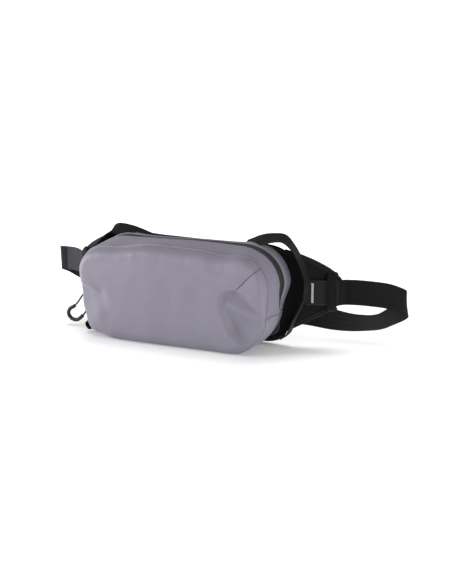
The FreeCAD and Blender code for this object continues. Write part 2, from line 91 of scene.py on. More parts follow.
def xyz(x, y, z):
    """Points from three coordinates, each an array or a number."""
    return np.stack(np.broadcast_arrays(x, y, z), -1)


def at_y(points, y):
    """A copy of the points, all moved to depth y."""
    points = points.copy()
    points[..., 1] = y
    return points


def mirrored(points, side):
    return points * np.array([side, 1, 1])


def unit(vectors):
    return vectors / np.linalg.norm(vectors, axis=-1, keepdims=True)


def arc_length(path):
    return np.r_[0, np.cumsum(np.linalg.norm(np.diff(path, axis=0), axis=1))]


def resample(path, count):
    """Evenly spaced points along a path."""
    path = np.asarray(path, float)
    length = arc_length(path)
    stops = np.linspace(0, length[-1], count)
    return np.stack([np.interp(stops, length, path[:, k]) for k in range(path.shape[1])], 1)


def spline(points, steps, closed=False):
    """Catmull-Rom curve through the points, every column interpolated alike."""
    p = np.asarray(points, float)
    if closed:
        p = np.vstack([p[-1:], p, p[:2]])
    else:
        p = np.vstack([2 * p[0] - p[1], p, 2 * p[-1] - p[-2]])
    out = []
    for i in range(1, len(p) - 2):
        a, b, c, d = p[i - 1:i + 3]
        for t in np.linspace(0, 1, steps, endpoint=False):
            out.append(0.5 * (2 * b + (c - a) * t + (2 * a - 5 * b + 4 * c - d) * t * t
                              + (3 * b - a - 3 * c + d) * t ** 3))
    if not closed:
        out.append(p[-2])
    return np.array(out)


def smoothed(values, passes, closed=False):
    """Binomial smoothing along the first axis."""
    v = np.array(values, float)
    for _ in range(passes):
        if closed:
            v = 0.5 * v + 0.25 * (np.roll(v, 1, 0) + np.roll(v, -1, 0))
        else:
            inner = 0.5 * v[1:-1] + 0.25 * (v[2:] + v[:-2])
            v = v.copy()
            v[1:-1] = inner
    return v


LATTICE = np.random.default_rng(7).standard_normal((32, 32, 32))


def noise(points, scale, seed):
    """Smooth, repeatable value noise; scale is the lattice pitch."""
    q = np.asarray(points, float) / scale + seed * 7.31 + 100.0
    cell = np.floor(q).astype(int)
    f = q - cell
    f = f * f * (3 - 2 * f)
    total = 0
    for corner in itertools.product((0, 1), repeat=3):
        weight = np.where(corner, f, 1 - f)
        node = (cell + corner) % 32
        value = LATTICE[node[..., 0], node[..., 1], node[..., 2]]
        total = total + weight[..., 0] * weight[..., 1] * weight[..., 2] * value
    return total


def segment(x, z, a, b):
    """Distance to the line a-b in the XZ plane, and the fraction along it."""
    ex, ez = b[0] - a[0], b[1] - a[1]
    t = np.clip(((x - a[0]) * ex + (z - a[1]) * ez) / (ex * ex + ez * ez + 1e-9), 0, 1)
    return np.hypot(x - a[0] - t * ex, z - a[1] - t * ez), t


def polygon_depth(x, z, polygon):
    """Distance to a polygon's edge in the XZ plane, positive inside."""
    polygon = np.asarray(polygon, float)
    nearest = np.full(x.shape, 1e9)
    inside = np.zeros(x.shape, bool)
    for a, b in zip(polygon, np.roll(polygon, -1, 0)):
        nearest = np.minimum(nearest, segment(x, z, a, b)[0])
        crossing_x = (b[0] - a[0]) * (z - a[1]) / (b[1] - a[1] + 1e-12) + a[0]
        inside ^= ((a[1] > z) != (b[1] > z)) & (x < crossing_x)
    return np.where(inside, nearest, -nearest)


# ---------------------------------------------------------------- mesh builders
def new_object(name, verts, faces, uvs=None):
    """A smooth-shaded mesh object from millimetre vertices."""
    mesh = bpy.data.meshes.new(name)
    mesh.from_pydata([tuple(v) for v in (np.asarray(verts) * MM)], [], faces)
    if uvs is not None:
        layer = mesh.uv_layers.new(name="UVMap")
        index = np.empty(len(mesh.loops), dtype=np.int64)
        mesh.loops.foreach_get("vertex_index", index)
        layer.data.foreach_set("uv", np.asarray(uvs, float)[index].ravel())
    mesh.update()
    mesh.polygons.foreach_set("use_smooth", [True] * len(mesh.polygons))
    obj = bpy.data.objects.new(name, mesh)
    bpy.context.scene.collection.objects.link(obj)
    return obj


def tidy(obj, merge=0.00002):
    """Merge doubled vertices, drop flat faces and turn the normals outward."""
    bm = bmesh.new()
    bm.from_mesh(obj.data)
    bmesh.ops.remove_doubles(bm, verts=bm.verts, dist=merge)
    bmesh.ops.dissolve_degenerate(bm, edges=bm.edges, dist=1e-7)
    bmesh.ops.recalc_face_normals(bm, faces=bm.faces)
    bm.to_mesh(obj.data)
    bm.free()
    obj.data.polygons.foreach_set("use_smooth", [True] * len(obj.data.polygons))


def turn_outward(obj):
    bm = bmesh.new()
    bm.from_mesh(obj.data)
    bmesh.ops.recalc_face_normals(bm, faces=bm.faces)
    bm.to_mesh(obj.data)
    bm.free()


def mark_sharp(obj, degrees):
    """Mark edges steeper than the angle as sharp."""
    bm = bmesh.new()
    bm.from_mesh(obj.data)
    limit = math.radians(degrees)
    for edge in bm.edges:
        if len(edge.link_faces) == 2 and edge.calc_face_angle(0.0) > limit:
            edge.smooth = False
    bm.to_mesh(obj.data)
    bm.free()


def attach(obj, mat, slot, node=None, body="bag", blend=None):
    """blend is (first body, second body, start, end), with the places in millimetres; these are
    not used: a given blend only bakes the piece in place, attached to no body.
    """
    obj.data.materials.append(mat)
    if node:
        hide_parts(node)
    if blend:
        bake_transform(obj)
    else:
        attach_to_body(obj, body)


def uv_grid(u, v):
    """Flat UV list in centimetres from broadcast millimetre coordinates."""
    return np.stack(np.broadcast_arrays(u, v), -1).reshape(-1, 2) * 0.1


def shell(name, outer, inner, closed=False, panel=False):
    """Closed skin between two grids [row, column, 3].

    closed joins the last row to the first. A panel is closed too, and its columns run in
    from the edge to a spine, so it has a rim at the edge only.
    """
    closed = closed or panel
    rows, cols = outer.shape[:2]
    verts = np.vstack([outer.reshape(-1, 3), inner.reshape(-1, 3)])
    u = np.linalg.norm(np.diff(outer, axis=0), axis=2)
    u = np.vstack([np.zeros((1, cols)), np.cumsum(u, 0)])
    v = np.linalg.norm(np.diff(outer, axis=1), axis=2)
    v = np.hstack([np.zeros((rows, 1)), np.cumsum(v, 1)])
    uv = uv_grid(u, v)
    under = rows * cols
    bands = [(i, (i + 1) % rows) for i in range(rows if closed else rows - 1)]
    faces = []
    for i, k in bands:
        for j in range(cols - 1):
            a, b = i * cols + j, k * cols + j
            faces.append((a, b, b + 1, a + 1))
            faces.append((under + a + 1, under + b + 1, under + b, under + a))
    for i, k in bands:
        a, b = i * cols, k * cols
        faces.append((a, under + a, under + b, b))
        if not panel:
            a, b = a + cols - 1, b + cols - 1
            faces.append((b, under + b, under + a, a))
    if not closed:
        for j in range(cols - 1):
            faces.append((j + 1, under + j + 1, under + j, j))
            a = (rows - 1) * cols + j
            faces.append((a, under + a, under + a + 1, a + 1))
    obj = new_object(name, verts, faces, np.vstack([uv, uv]))
    tidy(obj, 0.00004 if panel else 0.00002)
    return obj


def loft_faces(rows, around, closed=False, caps=True, start=0):
    """Quads between successive rings of vertices, with an end cap on each open end."""
    faces = []
    for i in range(rows if closed else rows - 1):
        a, b = start + i * around, start + (i + 1) % rows * around
        for j in range(around):
            k = (j + 1) % around
            faces.append((a + j, a + k, b + k, b + j))
    if caps and not closed:
        faces.append(tuple(start + j for j in range(around))[::-1])
        faces.append(tuple(start + (rows - 1) * around + j for j in range(around)))
    return faces


def ribbon(name, path, across, width, thick, cells, curl=0.0, wave=0.0, seed=1, square=1.0,
           taper=None):
    """Webbing along a path.

    across: width direction, one for all or one per point; square: how far it is turned
    square to the path; curl: cupping at the edges; wave: ripple height; taper: width factors.
    """
    path = np.asarray(path, float)
    tangent = unit(np.gradient(path, axis=0))
    span_dir = unit(np.broadcast_to(np.asarray(across, float), path.shape))
    span_dir = span_dir - square * tangent * (span_dir * tangent).sum(1)[:, None]
    span_dir = unit(span_dir)
    normal = unit(np.cross(tangent, span_dir))
    length = arc_length(path)
    # cross section: over one face, back over the other, thinner at the edges
    steps = np.linspace(-1, 1, cells + 1)
    place = np.r_[steps, steps[::-1]]
    half = thick / 2 * (1 - 0.35 * np.maximum(0, (np.abs(place) - 0.93) / 0.07))
    offset = place * width / 2
    rise = np.repeat([1.0, -1.0], cells + 1) * half + curl * ((2 * offset / width) ** 2)
    ripple = wave * noise(xyz(length, 0, 0), 23.0, seed)
    if taper is not None:
        span_dir = span_dir * taper[:, None]
    grid = (path[:, None, :] + span_dir[:, None, :] * offset[None, :, None]
            + normal[:, None, :] * rise[None, :, None] + (normal * ripple[:, None])[:, None, :])
    rows, around = grid.shape[:2]
    faces = loft_faces(rows, around, caps=False)
    for first in (0, (rows - 1) * around):
        last = first + around - 1
        for j in range(cells):
            quad = (first + j, first + j + 1, last - 1 - j, last - j)
            faces.append(quad if first else quad[::-1])
    obj = new_object(name, grid.reshape(-1, 3), faces,
                     uv_grid(length[:, None], offset[None, :] + width / 2))
    turn_outward(obj)
    mark_sharp(obj, 50)
    return obj


def tube(name, path, radius, sides, closed=False):
    """Round tube along a path; radius is a number or one value per point."""
    path = np.asarray(path, float)
    rows = len(path)
    if closed:
        tangent = unit(np.roll(path, -1, 0) - np.roll(path, 1, 0))
    else:
        tangent = unit(np.gradient(path, axis=0))
    along_y = abs(tangent[:, 1]).max() >= 0.9
    guide = np.array([0.0, 0.03, 1.0]) if along_y else np.array([0.0, 1.0, 0.02])
    axis_a = unit(guide - tangent * (tangent @ guide)[:, None])
    axis_b = np.cross(tangent, axis_a)
    radii = radius if isinstance(radius, np.ndarray) else np.full(rows, float(radius))
    turn = np.linspace(0, 2 * math.pi, sides, endpoint=False)
    grid = path[:, None, :] + radii[:, None, None] * (
        axis_a[:, None, :] * np.cos(turn)[None, :, None]
        + axis_b[:, None, :] * np.sin(turn)[None, :, None])
    obj = new_object(name, grid.reshape(-1, 3), loft_faces(rows, sides, closed),
                     uv_grid(arc_length(path)[:, None], turn[None, :] * radii.mean()))
    turn_outward(obj)
    mark_sharp(obj, 60)
    return obj


# five rings of one stitch: place along it (in lengths), rise (in diameters), radius factor
STITCH_RINGS = [(-1 / 2, -0.25, 0.5), (-1 / 4, 0.12, 0.95), (0.0, 0.22, 1.0),
                (1 / 4, 0.12, 0.95), (1 / 2, -0.25, 0.5)]


def stitches(name, path, normals, mat, slot, pitch, length, radius, lift, **hold):
    """A row of thread stitches on a surface, one small capsule each."""
    path = np.asarray(path, float)
    normals = np.broadcast_to(np.asarray(normals, float), path.shape)
    run = arc_length(path)
    verts, faces = [], []
    for k in range(int(run[-1] / pitch)):
        stops = [(k + 0.5) * pitch + ring[0] * length for ring in STITCH_RINGS]
        points = np.stack([np.interp(stops, run, path[:, q]) for q in range(3)], 1)
        ups = unit(np.stack([np.interp(stops, run, normals[:, q]) for q in range(3)], 1))
        tangent = unit(points[-1] - points[0])
        faces += loft_faces(5, 6, start=len(verts))
        for point, up, (_, rise, size) in zip(points, ups, STITCH_RINGS):
            aside = np.cross(tangent, up)
            for corner in range(6):
                turn = corner * math.pi / 3
                height = lift + rise * radius * 2 + math.sin(turn) * radius * size
                verts.append(point + up * height + aside * math.cos(turn) * radius * size)
    obj = new_object(name, verts, faces)
    turn_outward(obj)
    attach(obj, mat, slot, **hold)


# -------------------------------------------------------------------- materials
def srgb(red, green, blue):
    """Linear colour from 0-255 sRGB values."""
    def linear(value):
        value = value / 255
        return value / 12.92 if value <= 0.04045 else ((value + 0.055) / 1.055) ** 2.4
    return (linear(red), linear(green), linear(blue), 1.0)


def shade(color, factor):
    return (color[0] * factor, color[1] * factor, color[2] * factor, 1.0)


class Material:
    """A node material. Arguments may be sockets, which are linked, or plain values."""

    def __init__(self, name):
        self.material = bpy.data.materials.new(name)
        self.material.use_nodes = True
        self.tree = self.material.node_tree
        self.inputs = self.tree.nodes["Principled BSDF"].inputs

    def node(self, kind):
        return self.tree.nodes.new(kind)

    def feed(self, socket, value):
        if isinstance(value, bpy.types.NodeSocket):
            self.tree.links.new(value, socket)
        else:
            socket.default_value = value

    def set(self, key, value):
        self.feed(self.inputs[key], value)

    def raw_coord(self, kind):
        return self.node("ShaderNodeTexCoord").outputs[kind]

    def coord(self, kind, turn=0.0):
        """Coordinates turned about Z by an angle in degrees."""
        source = self.raw_coord(kind)
        mapping = self.node("ShaderNodeMapping")
        mapping.inputs["Rotation"].default_value = (0, 0, math.radians(turn))
        self.feed(mapping.inputs["Vector"], source)
        return mapping.outputs["Vector"]

    def axes(self, vector):
        split = self.node("ShaderNodeSeparateXYZ")
        self.feed(split.inputs[0], vector)
        return split.outputs

    def noise(self, vector, scale, detail=4, rough=0.55):
        x = self.node("ShaderNodeTexNoise")
        x.inputs["Scale"].default_value = scale
        x.inputs["Detail"].default_value = detail
        x.inputs["Roughness"].default_value = rough
        self.feed(x.inputs["Vector"], vector)
        return x.outputs["Fac"]

    def wave(self, vector, scale, axis="X"):
        x = self.node("ShaderNodeTexWave")
        x.bands_direction = axis
        x.inputs["Scale"].default_value = scale
        self.feed(x.inputs["Vector"], vector)
        return x.outputs["Fac"]

    def math(self, operation, a, b, clamp=False):
        x = self.node("ShaderNodeMath")
        x.operation = operation
        x.use_clamp = clamp
        self.feed(x.inputs[0], a)
        self.feed(x.inputs[1], b)
        return x.outputs[0]

    def add(self, a, b):
        return self.math("ADD", a, b)

    def minus(self, a, b):
        return self.math("SUBTRACT", a, b)

    def times(self, a, b, clamp=False):
        return self.math("MULTIPLY", a, b, clamp)

    def climb(self, value, start, gain):
        """0 up to start, then rising by gain to 1."""
        return self.times(self.minus(value, start), gain, clamp=True)

    def band(self, value, width, centre=None):
        """Soft band round a centre, or round zero."""
        if centre is not None:
            value = self.minus(value, centre)
        q = self.math("DIVIDE", value, width)
        return self.math("POWER", 2.718, self.times(self.times(q, q), -1.0))

    def ramp(self, factor, stops):
        x = self.node("ShaderNodeValToRGB")
        elements = x.color_ramp.elements
        while len(elements) < len(stops):
            elements.new(0.5)
        for element, (position, color) in zip(elements, stops):
            element.position = position
            element.color = color
        self.feed(x.inputs["Fac"], factor)
        return x.outputs["Color"]

    def tones(self, factor, base, dark, light):
        """Mottle between a darker and a lighter shade of the base colour."""
        return self.ramp(factor, [(0.3, shade(base, dark)), (0.7, shade(base, light))])

    def mix(self, factor, a, b):
        x = self.node("ShaderNodeMix")
        x.data_type = "RGBA"
        # sockets 0, 6 and 7 are the float factor and the two colours
        for socket, value in ((0, factor), (6, a), (7, b)):
            self.feed(x.inputs[socket], value)
        return x.outputs[2]

    def worn_edges(self, color, start, gain, wear_and_highlight):
        """Lighten the convex edges towards the worn colour."""
        geometry = self.node("ShaderNodeNewGeometry")
        edge = self.climb(geometry.outputs["Pointiness"], start=start, gain=gain)
        return self.mix(self.times(edge, 0.5), color, wear_and_highlight)

    def bump(self, height, depth, strength, over=None):
        x = self.node("ShaderNodeBump")
        x.inputs["Distance"].default_value = depth
        x.inputs["Strength"].default_value = strength
        self.feed(x.inputs["Height"], height)
        if over is not None:
            self.feed(x.inputs["Normal"], over)
        return x.outputs["Normal"]

    def finish(self, color, rough, normal=None):
        self.set("Base Color", color)
        self.set("Roughness", rough)
        if normal is not None:
            self.set("Normal", normal)
        return self.material


# dart on the front panel, (x, z) in mm: stitch line and the pull of the cloth share a start
DART_START = (112.6, 99.8)
DART_STITCH_END = (147.8, 134.5)
DART_PULL_END = (146.5, 133.2)


def dart_stitching(m, color, base, normal):
    """Straight dark stitch line with a raised lip along one side."""
    place = m.axes(m.raw_coord("Object"))
    start_x, start_z = (v / 1000 for v in DART_START)
    run_x, run_z = DART_STITCH_END[0] / 1000 - start_x, DART_STITCH_END[1] / 1000 - start_z
    length = math.hypot(run_x, run_z)
    dir_x, dir_z = run_x / length, run_z / length
    px = m.minus(place[0], start_x)
    pz = m.minus(place[2], start_z)
    along = m.add(m.times(px, dir_x), m.times(pz, dir_z))
    off = m.add(m.times(px, -dir_z), m.times(pz, dir_x))
    inside = m.times(m.math("GREATER_THAN", along, 0.0), m.math("LESS_THAN", along, length))
    line = m.times(m.band(off, width=0.00055), inside)
    lip = m.times(m.band(off, centre=0.0016, width=0.0008), inside)
    color = m.mix(m.times(line, 0.62), color, shade(base, 0.30))
    height = m.minus(m.times(lip, 0.6), line)
    return color, m.bump(height, depth=0.0012, strength=0.9, over=normal)


def coated_fabric(name, front=False, seamed=False):
    """Smooth matt-coated woven cloth.

    front adds the painted seam shadow and the dart; seamed adds the painted seam shadow, a
    painted highlight on the hem and painted shade in its groove.
    """
    m = Material(name)
    base = srgb(149, 144, 160)
    place = m.coord("Object")
    big = m.noise(place, scale=9.0, detail=3, rough=0.5)
    fine = m.noise(place, scale=420.0, detail=3, rough=0.6)
    mid = m.noise(place, scale=60.0, detail=4, rough=0.6)
    color = m.ramp(m.add(m.times(big, 0.55), m.times(mid, 0.45)),
                   [(0.30, shade(srgb(147, 140, 158), 0.68)), (0.50, shade(base, 0.70)),
                    (0.72, shade(srgb(151, 148, 163), 0.73))])
    color = m.mix(m.times(fine, 0.10), color, shade(base, 0.50))
    uv = m.coord("UV")
    weave = m.times(m.wave(uv, scale=5.2), m.wave(uv, scale=5.2, axis="Y"))
    normal = m.bump(weave, depth=0.00006, strength=0.35)
    normal = m.bump(fine, depth=0.00008, strength=0.5, over=normal)
    normal = m.bump(mid, depth=0.0004, strength=0.30, over=normal)
    rough = m.add(m.times(mid, 0.16), 0.42)
    if front or seamed:
        # V runs away from the seam, in centimetres
        from_seam = m.axes(m.raw_coord("UV"))[1]
        shadow = m.band(from_seam, width=0.060)
        color = m.mix(m.times(shadow, 0.60), color, shade(base, 0.22))
    if seamed:
        # painted highlight: a lighter band on the raised hem, where it catches the light
        wear_and_highlight = m.band(from_seam, centre=0.17, width=0.075)
        color = m.mix(m.times(wear_and_highlight, 0.30), color, shade(srgb(190, 186, 200), 0.8))
        # painted shade: a darker band in the topstitch groove
        groove = m.band(from_seam, centre=0.53, width=0.045)
        color = m.mix(m.times(groove, 0.38), color, shade(base, 0.25))
    if front:
        color, normal = dart_stitching(m, color, base, normal)
    m.set("Specular IOR Level", 0.42)
    m.set("Sheen Weight", 0.12)
    m.set("Sheen Roughness", 0.4)
    return m.finish(color, rough, normal)


def plain_weave(name, rgb, weave, depth, rough, sheen):
    m = Material(name)
    base = srgb(*rgb)
    uv = m.coord("UV")
    place = m.coord("Object")
    warp_yarn = m.wave(uv, scale=weave)
    weft_yarn = m.wave(uv, scale=weave, axis="Y")
    yarns = m.math("MAXIMUM", m.times(warp_yarn, 0.9), m.times(weft_yarn, 0.8))
    big = m.noise(place, scale=35.0, rough=0.6)
    lint = m.noise(place, scale=900.0, detail=2, rough=0.7)
    color = m.tones(big, base, dark=0.80, light=1.25)
    color = m.mix(m.times(yarns, 0.35), shade(base, 0.55), color)
    color = m.mix(m.times(m.math("GREATER_THAN", lint, 0.66), 0.10), color, srgb(60, 60, 66))
    normal = m.bump(yarns, depth=depth, strength=0.8)
    normal = m.bump(big, depth=0.0006, strength=0.35, over=normal)
    m.set("Sheen Weight", sheen)
    m.set("Sheen Roughness", 0.5)
    m.set("Specular IOR Level", 0.16)
    return m.finish(color, rough, normal)


def ribbed_webbing(name, rgb, ribs=2.5, left=False):
    """Woven webbing with chevron ribs; left paints a highlight on the front run of the left
    belt.
    """
    m = Material(name)
    base = srgb(*rgb)
    u, v, _ = m.axes(m.coord("UV"))
    chevron = m.math("PINGPONG", v, 0.5)
    slanted = m.add(u, m.times(chevron, 0.9))
    combined = m.node("ShaderNodeCombineXYZ")
    m.feed(combined.inputs[0], slanted)
    m.feed(combined.inputs[1], v)
    rib = m.wave(combined.outputs[0], scale=ribs)
    yarn = m.wave(combined.outputs[0], scale=3.6, axis="Y")
    height = m.add(m.times(rib, 0.8), m.times(yarn, 0.3))
    place = m.coord("Object")
    big = m.noise(place, scale=28.0, rough=0.6)
    fuzz = m.noise(place, scale=1300.0, detail=2, rough=0.7)
    color = m.tones(big, base, dark=0.85, light=1.2)
    color = m.mix(m.times(rib, 0.6), shade(base, 0.45), color)
    color = m.mix(m.times(fuzz, 0.04), color, srgb(70, 68, 76))
    if left:
        # painted highlight: the front run is painted lighter, as if lit; the fold at the far
        # left and the rear run keep the darker base as painted shade
        x, y, _ = m.axes(place)
        ahead = m.times(m.minus(0.0915, y), 500.0, clamp=True)
        inboard = m.times(m.add(x, 0.2600), 900.0, clamp=True)
        color = m.mix(m.times(ahead, inboard), color,
                      m.mix(m.times(rib, 0.35), srgb(56, 55, 60), srgb(72, 71, 76)))
    normal = m.bump(height, depth=0.00028, strength=0.9)
    normal = m.bump(fuzz, depth=0.00005, strength=0.5, over=normal)
    m.set("Sheen Weight", 0.03)
    m.set("Sheen Roughness", 0.45)
    m.set("Specular IOR Level", 0.15)
    return m.finish(color, 0.62, normal)


def spacer_mesh(name):
    """Open mesh with round holes in a honeycomb."""
    m = Material(name)
    uv = m.coord("UV")
    cells = m.node("ShaderNodeTexVoronoi")
    cells.inputs["Scale"].default_value = 3.2
    cells.inputs["Randomness"].default_value = 0.12
    m.feed(cells.inputs["Vector"], uv)
    rim = m.climb(cells.outputs["Distance"], start=0.24, gain=6.0)
    hole = m.math("SUBTRACT", 1.0, rim, clamp=True)
    yarn = m.wave(uv, scale=5.0)
    color = m.mix(hole, srgb(27, 27, 31), srgb(5, 5, 6))
    place = m.coord("Object")
    color = m.mix(m.times(m.noise(place, scale=40.0), 0.4), color, srgb(22, 22, 26))
    normal = m.bump(m.minus(1.0, hole), depth=0.0006, strength=1.0)
    normal = m.bump(yarn, depth=0.0001, strength=0.6, over=normal)
    m.set("Sheen Weight", 0.3)
    return m.finish(color, 0.88, normal)


def zip_tape(name):
    m = Material(name)
    base = srgb(46, 47, 45)
    uv = m.coord("UV")
    place = m.coord("Object")
    ribs = m.wave(uv, scale=4.0)
    color = m.tones(m.noise(place, scale=50.0), base, dark=0.9, light=1.1)
    color = m.mix(m.times(ribs, 0.25), color, shade(base, 0.7))
    normal = m.bump(ribs, depth=0.0001, strength=0.6)
    normal = m.bump(m.noise(place, scale=700.0), depth=0.00005, strength=0.4, over=normal)
    m.set("Specular IOR Level", 0.35)
    return m.finish(color, 0.55, normal)


def plastic(name, rgb, rough=0.5, grain=900.0):
    m = Material(name)
    base = srgb(*rgb)
    place = m.coord("Object")
    pores = m.noise(place, scale=grain, detail=2, rough=0.6)
    big = m.noise(place, scale=45.0)
    color = m.tones(big, base, dark=0.9, light=1.12)
    color = m.worn_edges(color, start=0.52, gain=8.0, wear_and_highlight=shade(base, 2.6))
    normal = m.bump(pores, depth=0.00006, strength=0.6)
    return m.finish(color, m.add(rough - 0.06, m.times(big, 0.12)), normal)


def metal(name, rgb, rough, metallic):
    m = Material(name)
    base = srgb(*rgb)
    scuff = m.noise(m.coord("Object"), scale=260.0, rough=0.7)
    color = m.tones(scuff, base, dark=0.85, light=1.1)
    color = m.worn_edges(color, start=0.53, gain=9.0, wear_and_highlight=srgb(150, 150, 152))
    m.set("Metallic", metallic)
    normal = m.bump(scuff, depth=0.00003, strength=0.4)
    return m.finish(color, m.add(rough, m.times(scuff, 0.15)), normal)


def thread(name, rgb, strands):
    """Twisted thread or braid, with strands crossing at 40 degrees."""
    m = Material(name)
    base = srgb(*rgb)
    one_way = m.coord("UV", turn=40)
    other_way = m.coord("UV", turn=-40)
    height = m.math("MAXIMUM", m.wave(one_way, scale=strands), m.wave(other_way, scale=strands))
    place = m.coord("Object")
    color = m.mix(m.times(height, 0.6), shade(base, 0.45), base)
    color = m.mix(m.times(m.noise(place, scale=300.0), 0.3), color, shade(base, 1.3))
    m.set("Sheen Weight", 0.3)
    return m.finish(color, 0.7, m.bump(height, depth=0.0002, strength=0.8))


def foam_block(name):
    m = Material(name)
    pores = m.noise(m.coord("Object"), scale=800.0, detail=3, rough=0.7)
    color = m.ramp(pores, [(0.35, srgb(52, 52, 54)), (0.65, srgb(78, 78, 80))])
    return m.finish(color, 0.9, m.bump(pores, depth=0.0003, strength=0.7))


COATED = coated_fabric("coated_fabric")
COATED_FRONT = coated_fabric("coated_fabric_front", front=True)
COATED_SEAMED = coated_fabric("coated_fabric_seamed", seamed=True)
BLACK = plain_weave("black_fabric", (19, 19, 22), weave=4.6, depth=0.00016, rough=0.82,
                    sheen=0.063)
BINDING = plain_weave("black_binding", (21, 21, 24), weave=3.8, depth=0.00014, rough=0.7,
                      sheen=0.072)
LINING = plain_weave("lining_fabric", (96, 96, 102), weave=5.0, depth=0.0001, rough=0.7,
                     sheen=0.036)
WEBBING = ribbed_webbing("webbing", (14, 13, 17))
# left belt: a darker base as painted shade on its fold and rear run, and a painted highlight on
# its front run
WEBBING_LEFT_PAINTED_LIGHT = ribbed_webbing("webbing_left_painted_light", (9, 9, 11), left=True)
TAB_CLOTH = plain_weave("belt_tab", (28, 31, 34), weave=6.5, depth=0.00008, rough=0.5,
                        sheen=0.027)
ELASTIC = ribbed_webbing("elastic", (15, 15, 17), ribs=3.6)
MESH = spacer_mesh("spacer_mesh")
ZIP_TAPE = zip_tape("zip_tape")
BUCKLE = plastic("buckle_plastic", (24, 24, 27))
ZIP_PLASTIC = plastic("zip_plastic", (30, 30, 31), rough=0.45)
SLIDER = metal("slider_metal", (34, 34, 36), rough=0.42, metallic=0.6)
STEEL = metal("plated_steel", (150, 150, 152), rough=0.3, metallic=1.0)
CORD = thread("cord", (17, 17, 19), strands=3.0)
GRIP = plastic("grip", (19, 19, 21), rough=0.62, grain=1400.0)
BARTACK = thread("bartack_thread", (205, 206, 204), strands=4.0)
ROPE = thread("rope", (226, 142, 30), strands=0.9)
FOAM = foam_block("foam")
STIFFENER = plastic("stiffener", (60, 60, 63), rough=0.6)
LILAC_THREAD = thread("thread_lilac", (138, 131, 150), strands=4.0)
BLACK_THREAD = thread("thread_black", (44, 44, 50), strands=4.0)

FRAME_MATERIALS = {
    "zip_coil_front": ZIP_PLASTIC, "zip_coil_rear": ZIP_PLASTIC, "zip_end_stops": STEEL,
    "female_magnet": STEEL, "male_magnet": STEEL, "buckle_female": BUCKLE,
    "buckle_male": BUCKLE, "zip_slider": SLIDER, "zip_bail": SLIDER, "throw_rope": ROPE,
    "frame_sheet": STIFFENER, "rear_foam": FOAM, "base_foam": FOAM, "back_wall": BLACK,
    "rope_anchor_loop": BLACK,
}
for node_name, node_material in FRAME_MATERIALS.items():
    piece = frame["nodes"][node_name]
    if piece.material_slots:
        for material_slot in piece.material_slots:
            material_slot.material = node_material
    else:
        piece.data.materials.append(node_material)

# ------------------------------------------------------------------- body shape
Y_SEAM, Y_REAR = -30.0, 38.0      # front seam and rear of the side wall
WALL_DEPTH = Y_REAR - Y_SEAM
Y_WALL_END = Y_REAR + 0.3
ZIP_Y = 11.0
LOWER_Z = 54.0                    # top of the rounded lower corner
CROSS_SEAM_Z = 57.0               # where the gussets meet the bottom panel
SHOULDER_Z, SHOULDER_R = 100.0, 60.0
LOWER_CORNER_X = 100.0            # where the lower corner curve reaches the flat-bottom side
LOWER_POWER = 1.65                # superellipse exponent of the lower corner
QUARTER = 130                     # steps from top centre to cross seam, and on to base centre
RING = 4 * QUARTER
SPINE_Z = 78.0


def half_outline(y):
    """Right half of the section at depth y: (x, z) above and below the cross seam."""
    k = min(max((y - Y_SEAM) / WALL_DEPTH, 0.0), 1.0)
    low_x, high_x = 151.5 + 4.0 * k, 155.5 + 4.0 * k
    top_z, ear_z = 150.5 + 2.5 * k, 149.5 + 5.5 * k
    arc_x = high_x - SHOULDER_R

    def side_x(z):
        return low_x + (high_x - low_x) * (z - LOWER_Z) / (SHOULDER_Z - LOWER_Z)

    t = np.linspace(0, 1, 60, endpoint=False)
    top = np.stack([arc_x * t, top_z + (ear_z - top_z) * t * t], 1)
    t = np.linspace(0, math.pi / 2, 90)
    shoulder = np.stack([arc_x + SHOULDER_R * np.sin(t),
                         SHOULDER_Z + (ear_z - SHOULDER_Z) * np.cos(t)], 1)
    z = np.linspace(SHOULDER_Z, CROSS_SEAM_Z, 20)[1:]
    upper = np.vstack([top, shoulder, np.stack([side_x(z), z], 1)])
    t = np.linspace(0, math.pi / 2, 120)
    power = 2 / LOWER_POWER
    corner = np.stack([LOWER_CORNER_X + (low_x - LOWER_CORNER_X) * np.cos(t) ** power,
                       LOWER_Z - LOWER_Z * np.sin(t) ** power], 1)
    lower = np.vstack([[side_x(CROSS_SEAM_Z), CROSS_SEAM_Z], corner, [[0.0, 0.0]]])
    return upper, lower


